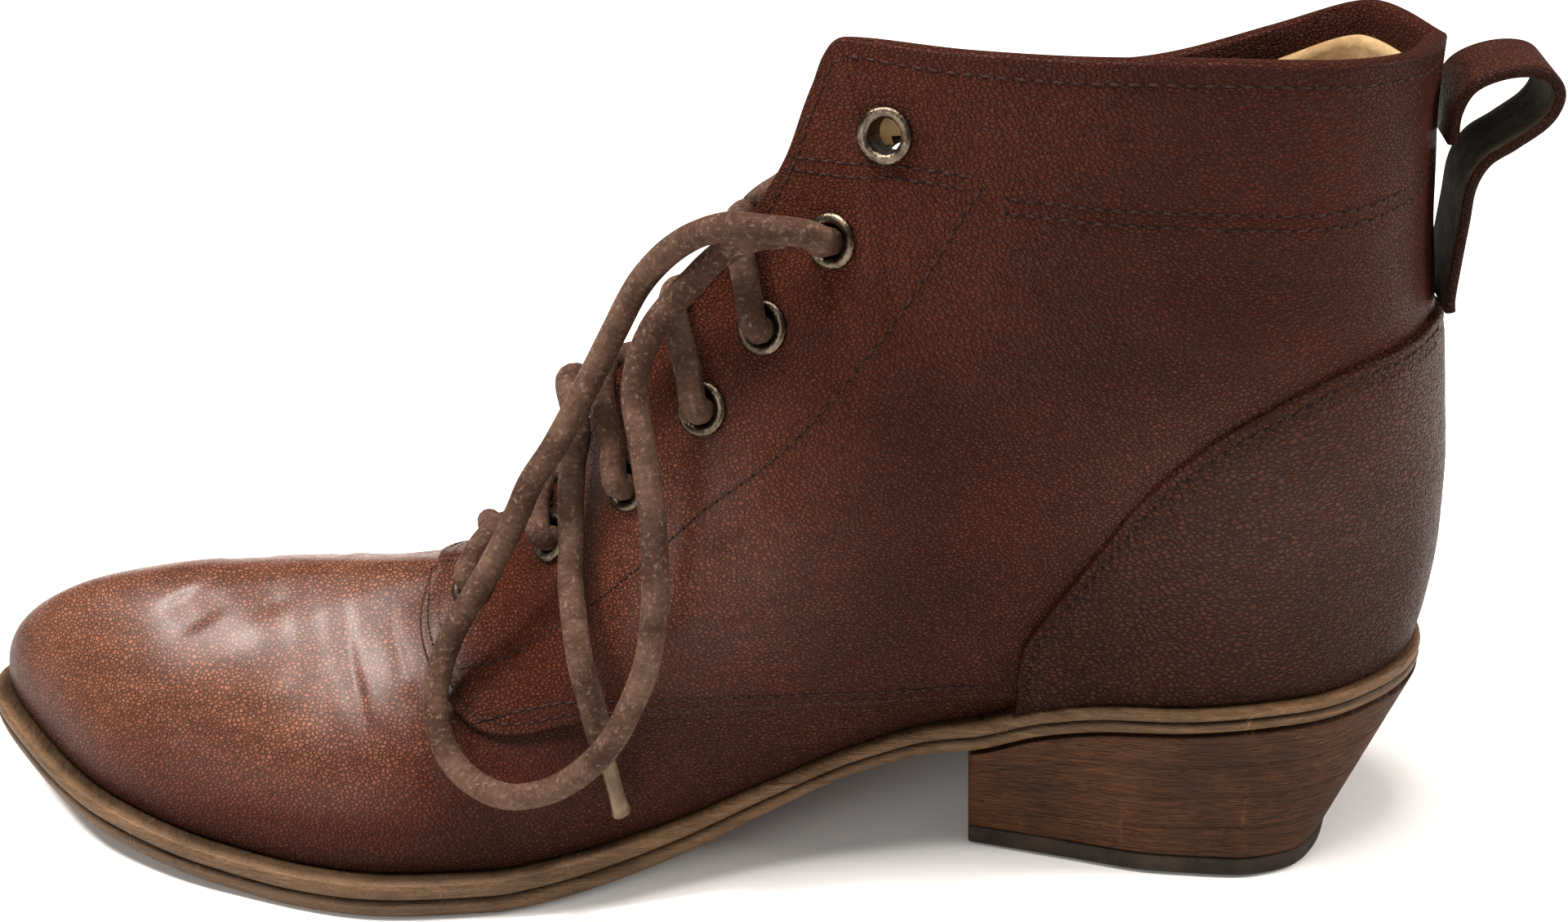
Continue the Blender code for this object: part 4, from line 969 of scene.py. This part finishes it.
# Seen from the side, in millimetres: the eyestay's row, the band's two rows and the vamp's extra row
EYESTAY_ROW = [(-32.5, 131.2), (-36.1, 124.8), (-39.9, 117.8), (-46.3, 108.2), (-57.5, 92.9), (-67.8, 81.8),
               (-77.5, 74.2), (-83.3, 68.7), (-96.6, 55.4), (-103.0, 49.5), (-115.3, 40.7), (-125.3, 37.3)]
BAND_FRONT = [(-64.2, 130.5), (-46.9, 131.9), (-32.9, 131.7)]
BAND_BACK = [(-30.5, 129.2), (-9.3, 127.9), (18.4, 126.6), (32.7, 127.7), (38.3, 128.4)]
VAMP_ROW = [(-122.0, 31.5), (-114.5, 34.1), (-105.5, 37.4), (-98.6, 39.4)]


class Sewing:
    """All the boot's stitches: a dark disc of painted shade for the needle hole at each end, and the thread
    sunk between them.
    """

    def __init__(self):
        work = bmesh.new()
        bmesh.ops.create_uvsphere(work, u_segments=6, v_segments=4, radius=1.0)
        self.bead = np.array([v.co for v in work.verts])
        self.bead_faces = [[v.index for v in f.verts] for f in work.faces]
        work.free()
        self.threads = []
        self.hole_shades = []

    def row(self, side, shares, height, pitch, hole, slant=0.0):
        p, n = spot(side, shares[:, 0], shares[:, 1])
        p = p + n * height
        run = run_along(p)
        at = np.arange(pitch / 2, run[-1], pitch)
        here, up = pick(at, run, p), unit(pick(at, run, n))
        for a, b, normal in zip(here, here[1:], up):
            step = np.linalg.norm(b - a)
            if not 0.3 * pitch < step < 1.6 * pitch:
                continue
            along = (b - a) / step
            leaned = along + np.cross(normal, along) * slant
            leaned /= np.linalg.norm(leaned)
            axes = np.array([leaned, np.cross(normal, leaned), normal])
            self.hole_shades.append(a + self.bead * (hole * 1.3, hole * 0.75, 0.1) @ axes)
            self.threads.append((a + b) / 2 + self.bead * (pitch * 0.34, 0.24, 0.22) @ axes)

    def make(self):
        for name, beads, mat in (("stitching", self.threads, THREAD), ("needle_holes", self.hole_shades, HOLE_SHADE)):
            count = len(self.bead)
            faces = [[i + k * count for i in f] for k in range(len(beads)) for f in self.bead_faces]
            mesh = bpy.data.meshes.new(name)
            mesh.from_pydata(np.concatenate(beads) * MM, [], faces)
            work = bmesh.new()
            work.from_mesh(mesh)
            done(work, name, mat)


def beside(side, table, distance, first, last):
    """A line beside a cut edge, on the skin's own side, as shares."""
    line = seen_line(table, 160)[first:last]
    way = unit(np.gradient(line, axis=0))
    return find(side, even(line + np.column_stack([-way[:, 1], way[:, 0]]) * distance, 160))


def make_sewing():
    sewing = Sewing()
    rows = ((EYESTAY_ROW, 0), (BAND_FRONT, 0), (BAND_FRONT, 2.0), (BAND_BACK, 0), (BAND_BACK, 2.4),
            (VAMP_ROW, 0))
    for side in (-1, 1):
        for line, drop in rows:
            lower = [(x, z - drop) for x, z in line]
            sewing.row(side, find(side, smooth_route(lower, 120)), QUARTER_TOP, ROW_PITCH, 0.34)
        for far in (1.7, 3.6):
            line = beside(side, QUARTER_EDGE, far, 14, 150)
            sewing.row(side, line, QUARTER_TOP - 0.08, SEAM_PITCH, 0.3)
        for far in (-2.0, -4.2):
            line = beside(side, COUNTER_EDGE, far, 6, 148)
            sewing.row(side, line, COUNTER_TOP - 0.08, SEAM_PITCH, 0.4, 0.7)
        u = np.linspace(np.interp(1.0, EDGE, STATIONS), 0.985, 260)
        sewing.row(side, np.column_stack([u, 1 - 2.4 / rib_lengths(side, u)]), QUARTER_TOP, RIM_PITCH, 0.26)
    sewing.make()


# Sole and heel: rings stacked round the edge and drawn in to the middle line above and below

def drawn_in(ring, share):
    """A sole ring drawn towards its middle line."""
    partner = np.roll(ring[::-1], 1, axis=0)
    return ring + ((ring + partner) / 2 - ring) * share


def heel_wear_and_highlight(points):
    """Share of the edges' wear and painted highlight: full at the heel's back, less towards the toe."""
    return 0.35 + 0.65 * np.exp(-((points[..., 0] - 24) / 26)**2)


def slab(name, rings, mat, slot, node, wear_and_highlight, dark, draw=drawn_in):
    """A solid plate of rings, closed in the middle below and above."""
    full = [draw(rings[0], 1.0), draw(rings[0], 0.5), *rings, draw(rings[-1], 0.5), draw(rings[-1], 1.0)]
    points = np.array(full)
    wear_and_highlight = np.array([0, 0, *wear_and_highlight, 0, 0], float)[:, None]
    dark = np.array([dark[0], dark[0], *dark, dark[-1], dark[-1]], float)[:, None]
    piece(name, [cloth(points, wear_and_highlight * heel_wear_and_highlight(points), dark)], mat, slot, node, around=True)


def make_sole():
    shares = (1 - np.cos(np.linspace(0, math.pi, 181))) / 2
    layer = OUTSOLE_SHARE
    sides = ((1.6, 0.0), (1.0, 0.03), (0.55, 0.12), (0.2, 0.3), (0.02, 0.55), (0.05, 0.78), (0.5, 0.95),
             (1.3, 1.0))
    rings = [sole_ring(inset, layer * high, shares) for inset, high in sides]
    # The edge's middle rings are lighter: wear, and a painted highlight.
    slab("outsole_edge", rings, SOLE, "sole_leather", "outsole", [0, 0, 0.2, 0.6, 0.9, 0.6, 0, 0],
         [0.1, 0.1, 0.1, 0, 0, 0.1, 0.6, 0.95])
    sides = ((1.3, 0.0), (0.55, 0.05), (0.12, 0.2), (0.0, 0.45), (0.12, 0.72), (0.5, 0.92), (1.1, 1.0),
             (2.4, 1.0), (WELT_WIDTH, 1.0), (WELT_WIDTH, 0.0))
    points = np.array([sole_ring(inset, layer + (1 - layer) * high, shares) for inset, high in sides])
    # The edge's middle rings are lighter: wear, and a painted highlight.
    wear_and_highlight = np.array([0, 0.2, 0.5, 1.0, 1.0, 0.8, 0.5, 0, 0, 0])[:, None]
    dark = np.array([0.95, 0.6, 0, 0, 0, 0, 0.1, 0.7, 1.0, 1.0])[:, None]
    piece("welt_edge", [cloth(points, wear_and_highlight * heel_wear_and_highlight(points), dark)], SOLE, "sole_leather", "welt",
          around=True, hoop=True)
    low = sole_ring(WELT_WIDTH + GAP, layer, shares)
    slab("insole_sock", [low, low + [0, 0, INSOLE]], LINING, "lining_leather", "insole", [0, 0], [0, 0])


def heel_ring(fraction, inset):
    """Outline of the heel between its walking face (0) and the sole's underside (1)."""
    angle = np.linspace(0, math.pi / 2, 49)
    table = np.column_stack([np.arcsin(HEEL_BASE[:, 0]), HEEL_BASE[:, 1:]])
    base_sides = read_smooth(table, angle) * HEEL_BASE_WIDTH / 2
    base_x = HEEL_BASE_LENGTH * (np.sin(angle) - 0.5)
    breast = -HEEL_BASE_LENGTH / 2
    top_x = breast + (HEEL_BACK - breast) * np.sin(angle)
    top_sides = outline_sides((top_x - TOE) / SOLE_LENGTH)
    rings = []
    for side in (0, 1):
        top = np.column_stack([top_x, top_sides[:, side]])
        base = np.column_stack([base_x, base_sides[:, side]])
        rings.append(base + (top - base) * fraction)
    ring = np.concatenate([rings[0], rings[1][-2::-1]])
    under, _, _ = profile(shares_at(ring[:, 0]))
    away = ring - [breast + (HEEL_BACK - breast) * 0.45, 0.0]
    return ring - unit(away) * inset, under - GAP


def heel_in(ring, share):
    return ring + ((ring + ring[::-1]) / 2 - ring) * share


def make_heel():
    levels = []
    for k in range(LIFTS):
        low = max(k / LIFTS, GAP / (BREAST_HEIGHT - TOP_PIECE))
        high = (k + 1) / LIFTS
        levels += [(low, 0.1, 0.45), (low + 0.008, 0.02, 0.2), (low + 0.03, 0, 0), (high - 0.03, 0, 0),
                   (high - 0.008, 0.02, 0.2)]
    levels.append((1.0, 0.25, 1.0))
    rings = []
    for level, inset, _ in levels:
        flat, ceiling = heel_ring(level, inset)
        rings.append(np.column_stack([flat, TOP_PIECE + (ceiling - TOP_PIECE) * level]))
    dark = [d for _, _, d in levels]
    slab("heel_lifts", rings, STACK, "stacked_leather", "heel_stack", [0.1] * len(rings), dark, heel_in)
    rings = []
    for fraction, inset, z in ((0, 1.3, 0), (0, 0.6, 0.12), (0, 0.15, 0.5), (0, 0, 1.1), (0.02, 0, 3.6),
                               (0.02, 0.2, TOP_PIECE)):
        flat, _ = heel_ring(fraction, inset)
        rings.append(np.column_stack([flat, np.full(len(flat), float(z))]))
    slab("heel_tread", rings, RUBBER, "heel_rubber", "heel_top_piece", [0] * 6, [0] * 6, heel_in)


def make_eyelets():
    """A turned ring with a rolled lip at each eyelet, its barrel through the leather."""
    work = begin()
    for seat, normal, proud in HOLES:
        lip = proud + QUARTER_TOP + 0.15
        section = [(2.75, -2.6), (3.05, -2.6), (3.1, lip - 0.3), (4.5, lip - 0.1), (4.65, lip + 0.2),
                   (4.5, lip + 0.55), (4.1, lip + 0.82), (3.6, lip + 0.88), (3.1, lip + 0.66),
                   (2.8, lip + 0.2), (2.72, lip - 0.6)]
        turn = Vector(normal).to_track_quat("Z", "Y").to_matrix().to_4x4()
        seated = Matrix.Translation(Vector(seat) * MM) @ turn
        verts = [work.verts.new(seated @ Vector((r * MM, 0, h * MM))) for r, h in section]
        edges = [work.edges.new((a, b)) for a, b in zip(verts, verts[1:] + verts[:1])]
        bmesh.ops.spin(work, geom=verts + edges, cent=seated.translation, axis=seated.col[2].xyz,
                       angle=2 * math.pi, steps=28, use_merge=True)
    bmesh.ops.recalc_face_normals(work, faces=work.faces[:])
    done(work, "eyelet_rings", BRASS, nodes_of("eyelet_"))


def make_tongue():
    """The tongue lies under both flaps from the throat's foot to the collar."""
    under = -WALL - 4 * GAP - 0.9
    rows = []
    for place in np.linspace(0.15, COLLAR_CORNER - 0.4, TONGUE_ROWS):
        ends = [off(side, place, TONGUE_REACH, under) for side in (-1, 1)]
        nearer = [off(side, place, TONGUE_REACH / 2, under) for side in (-1, 1)]
        pulls = [near + (near - end) * 0.6 for near, end in zip(nearer, ends)]
        rows.append(bezier(ends[0], *pulls, ends[1], TONGUE_STEPS))
    middle = np.array(rows)
    normal = unit(np.cross(np.gradient(middle, axis=1), np.gradient(middle, axis=0)))
    if normal[TONGUE_ROWS // 2, TONGUE_STEPS // 2, 0] > 0:
        normal = -normal
    front, back = middle + normal * TONGUE_HALF, middle - normal * TONGUE_HALF
    wide = front.shape[1]
    section = np.concatenate([front, middle[:, -1:], back[:, ::-1], middle[:, :1]], axis=1)
    piece("tongue_leather", [cloth(section)], [TONGUE, LINING], "brown_leather", "tongue", around=True,
          slot_of=lambda row, place: int(wide < place < 2 * wide))


def make_strap():
    """The pull strap: brown outside, its flesh side showing inside the loop."""
    back, _ = spot(-1, np.ones(L + 1), np.linspace(0, 1, L + 1), BASE)
    route = smooth_route(LOOP_ROUTE, 110) * STRAP_WIDTH
    z = SHAFT_HEIGHT + route[:, 1]
    x = np.interp(z, back[:, 2], back[:, 0]) + QUARTER_TOP + GAP + STRAP_WALL / 2 + route[:, 0]
    line = np.column_stack([x, z])
    along = unit(np.gradient(line, axis=0))
    out = np.column_stack([-along[:, 1], along[:, 0]])
    half, wall = STRAP_WIDTH / 2, STRAP_WALL / 2
    edge = [(half - 0.5, wall), (half - 0.1, wall * 0.7), (half, 0), (half - 0.1, -wall * 0.7),
            (half - 0.5, -wall)]
    flat = [(y, -wall) for y in np.linspace(half - 1.5, 1.5 - half, 8)]
    section = np.array(edge + flat)
    section = np.vstack([section, -section])
    rows = []
    for k, (here, side) in enumerate(zip(line, out)):
        spots = here + section[:, 1:] * side
        rows.append(np.column_stack([spots[:, 0], section[:, 0] + 0.5 * math.sin(k / 17), spots[:, 1]]))
    dark = np.tile([0.6] * len(edge) + [0.0] * len(flat), 2)
    piece("pull_strap", [cloth(rows, 0.0, dark)], [STRAP, FLESH], "strap_leather", "pull_loop", around=True,
          slot_of=lambda row, place: int(len(edge) - 1 <= place < len(edge) + len(flat)))


# Laces

def cord_rows(line, radius=LACE_WIDTH / 2, taper=None, squash=1.0):
    """Rings round a route, with the run along it and the turn round it."""
    along = unit(np.gradient(line, axis=0))
    across = np.cross(along[0], [0.0, 0.0, 1.0])
    angle = 2 * math.pi * np.arange(CORD_SIDES) / CORD_SIDES
    out = np.zeros((len(line), CORD_SIDES, 7))
    out[..., RUN] = run_along(line)[:, None]
    out[..., TURN] = np.arange(CORD_SIDES) / CORD_SIDES
    for k, (p, way) in enumerate(zip(line, along)):
        across = across - way * across.dot(way)
        across /= np.linalg.norm(across)
        other = np.cross(way, across)
        r = radius * (1 if taper is None else taper[k])
        out[k, :, :3] = p + r * (np.cos(angle)[:, None] * across + squash * np.sin(angle)[:, None] * other)
    return out


def strand_route(side, row):
    """Up out of an eyelet, over its flap, across the throat and under the other flap to its next eyelet."""
    place, below, proud = EYELETS[row]
    next_place, next_below, _ = EYELETS[row + 1]
    onward = next_place - place
    over = QUARTER_TOP + LACE_WIDTH / 2
    route = [off(side, place, below, lift) for lift in (-EYELET_DEPTH, 0.5, QUARTER_TOP + proud + 2.6)]
    route.append(off(side, place + 0.03 * onward, max(below - 6.0, below * 0.45), over + 0.6))
    route.append(off(side, place + 0.1 * onward, 0.0, over - 0.3))
    for share, across, lift in ((0.25, 0.5, over - 0.6), (0.42, 0.8, 0.6)):
        a, an = rib_down(side, place + share * onward, 0)
        b, bn = rib_down(-side, place + share * onward, 0)
        route.append(a + (b - a) * across + (an + bn) / np.linalg.norm(an + bn) * lift)
    route.append(off(-side, place + 0.62 * onward, 3.0, -3.4))
    route.append(off(-side, next_place, next_below, -4.6))
    return route


def make_laces():
    """The crossings, and the short bends from the last laced eyelets into the loop and the free end."""
    grids = [cord_rows(smooth_route(strand_route(side, row), 70))
             for row in range(len(EYELETS) - 2) for side in (-1, 1)]
    place, below, _ = EYELETS[-2]
    for side, cord in ((-1, LOOP_CORD), (1, END_CORD)):
        start, onward = np.array(cord[:2])
        route = [off(side, place, below, lift) for lift in (-EYELET_DEPTH, 0.5, 4.8)]
        grids.append(cord_rows(smooth_route(route + [start + (onward - start) * 0.4], 30)))
    piece("lace_rows", grids, CORD, "waxed_cord", nodes_of("lace_crossing"), around=True, mapped=True)


def make_cord(name, points, count, node, far_end):
    line = smooth_route(points, count)
    made = piece(name, [cord_rows(line)], CORD, "waxed_cord", node, around=True, mapped=True)
    on_it = [make_tip()] if far_end == "fitting" else []


def make_tip():
    """Clear sleeve on the lace's end, crimped at its top and a little flared at its tip."""
    last = np.array(END_CORD[-1])
    way = np.array(TIP_END) - last
    way /= np.linalg.norm(way)
    share = np.linspace(0, 1, 24)
    line = last + way * (0.1 + AGLET_LENGTH * share)[:, None]
    taper = np.interp(share, [0, 0.03, 0.12, 0.75, 0.9, 1.0], [0.95, 1.1, 1.0, 0.95, 1.02, 1.18])
    return piece("lace_tip_sleeve", [cord_rows(line, AGLET_WIDTH / 2, taper, 0.8)], TIP, "clear_tip",
                 "lace_tip", around=True)


# Camera at the photograph's place, then floor and light

AZIMUTH, ELEVATION, ROLL = (math.radians(v) for v in (5.2, 27.8, -1.6))
FOCAL_PIXELS = 2600
PHOTO_WIDTH = 1920
AIM = (-67.6, 0, 68.4)
CAMERA_DISTANCE = 382.2


def make_camera():
    flat = math.cos(ELEVATION)
    back = Vector((math.sin(AZIMUTH) * flat, -math.cos(AZIMUTH) * flat, math.sin(ELEVATION)))
    level = Vector((math.cos(AZIMUTH), math.sin(AZIMUTH), 0))
    above = back.cross(level)
    right = level * math.cos(ROLL) + above * math.sin(ROLL)
    up = above * math.cos(ROLL) - level * math.sin(ROLL)
    lens = bpy.data.cameras.new("camera")
    lens.sensor_width = 36
    lens.lens = FOCAL_PIXELS / PHOTO_WIDTH * lens.sensor_width
    lens.clip_start = 0.01
    camera = put("camera", lens)
    turn = Matrix((right, up, back)).transposed().to_4x4()
    camera.matrix_world = Matrix.Translation((Vector(AIM) + back * CAMERA_DISTANCE) * MM) @ turn
    bpy.context.scene.camera = camera


# The floor's half width in metres and its drop in millimetres, then the sky
FLOOR_HALF = 6.0
FLOOR_DROP = 0.2
SKY_STRENGTH = 0.24

# Soft lights: place, aim, width and height in metres, watts and colour
LIGHTS = {
    "overhead": ((-0.16, 0.02, 0.95), (-0.08, 0, 0.03), (0.5, 0.5), 17.0, (1.0, 0.96, 0.91)),
    "window": ((-0.6, -0.02, 0.84), (-0.16, 0, 0.04), (0.14, 0.14), 10.0, (1.0, 0.95, 0.9)),
    "heel_side": ((0.85, 0.05, 0.5), (0.03, 0, 0.06), (0.3, 0.3), 9.0, (1.0, 0.95, 0.9)),
    "front": ((-0.58, -0.76, 0.36), (-0.07, 0, 0.06), (0.5, 0.4), 3.6, (1.0, 0.97, 0.94)),
}


def make_studio():
    floor = Look("floor")
    work = bmesh.new()
    bmesh.ops.create_grid(work, x_segments=1, y_segments=1, size=FLOOR_HALF)
    mesh = bpy.data.meshes.new("floor")
    work.to_mesh(mesh)
    work.free()
    mesh.materials.append(floor.finish(Base_Color=(0.86, 0.85, 0.84), Roughness=0.85))
    ground = put("floor", mesh)
    ground.location.z = -FLOOR_DROP * MM
    world = bpy.data.worlds.new("studio")
    world.use_nodes = True
    sky = world.node_tree.nodes["Background"]
    sky.inputs["Color"].default_value = (1.0, 0.97, 0.94, 1)
    sky.inputs["Strength"].default_value = SKY_STRENGTH
    bpy.context.scene.world = world
    for name, (place, aim, size, power, colour) in LIGHTS.items():
        data = bpy.data.lights.new(name, "AREA")
        data.energy = power
        data.color = colour
        data.shape = "RECTANGLE"
        data.size, data.size_y = size
        lamp = put(name, data)
        lamp.location = place
        lamp.rotation_euler = (Vector(aim) - Vector(place)).to_track_quat("-Z", "Y").to_euler()
    bpy.context.scene.view_settings.view_transform = "Standard"


make_camera()
make_cord("lace_long_loop", LOOP_CORD, 260, "lace_loop", "object")
make_cord("lace_free_end", END_CORD, 170, "lace_end", "fitting")
make_laces()
make_upper()
make_lining()
make_quarter(-1, "quarter_medial")
make_quarter(1, "quarter_lateral")
make_counter()
make_sewing()
make_sole()
make_heel()
make_eyelets()
make_tongue()
make_strap()
make_studio()
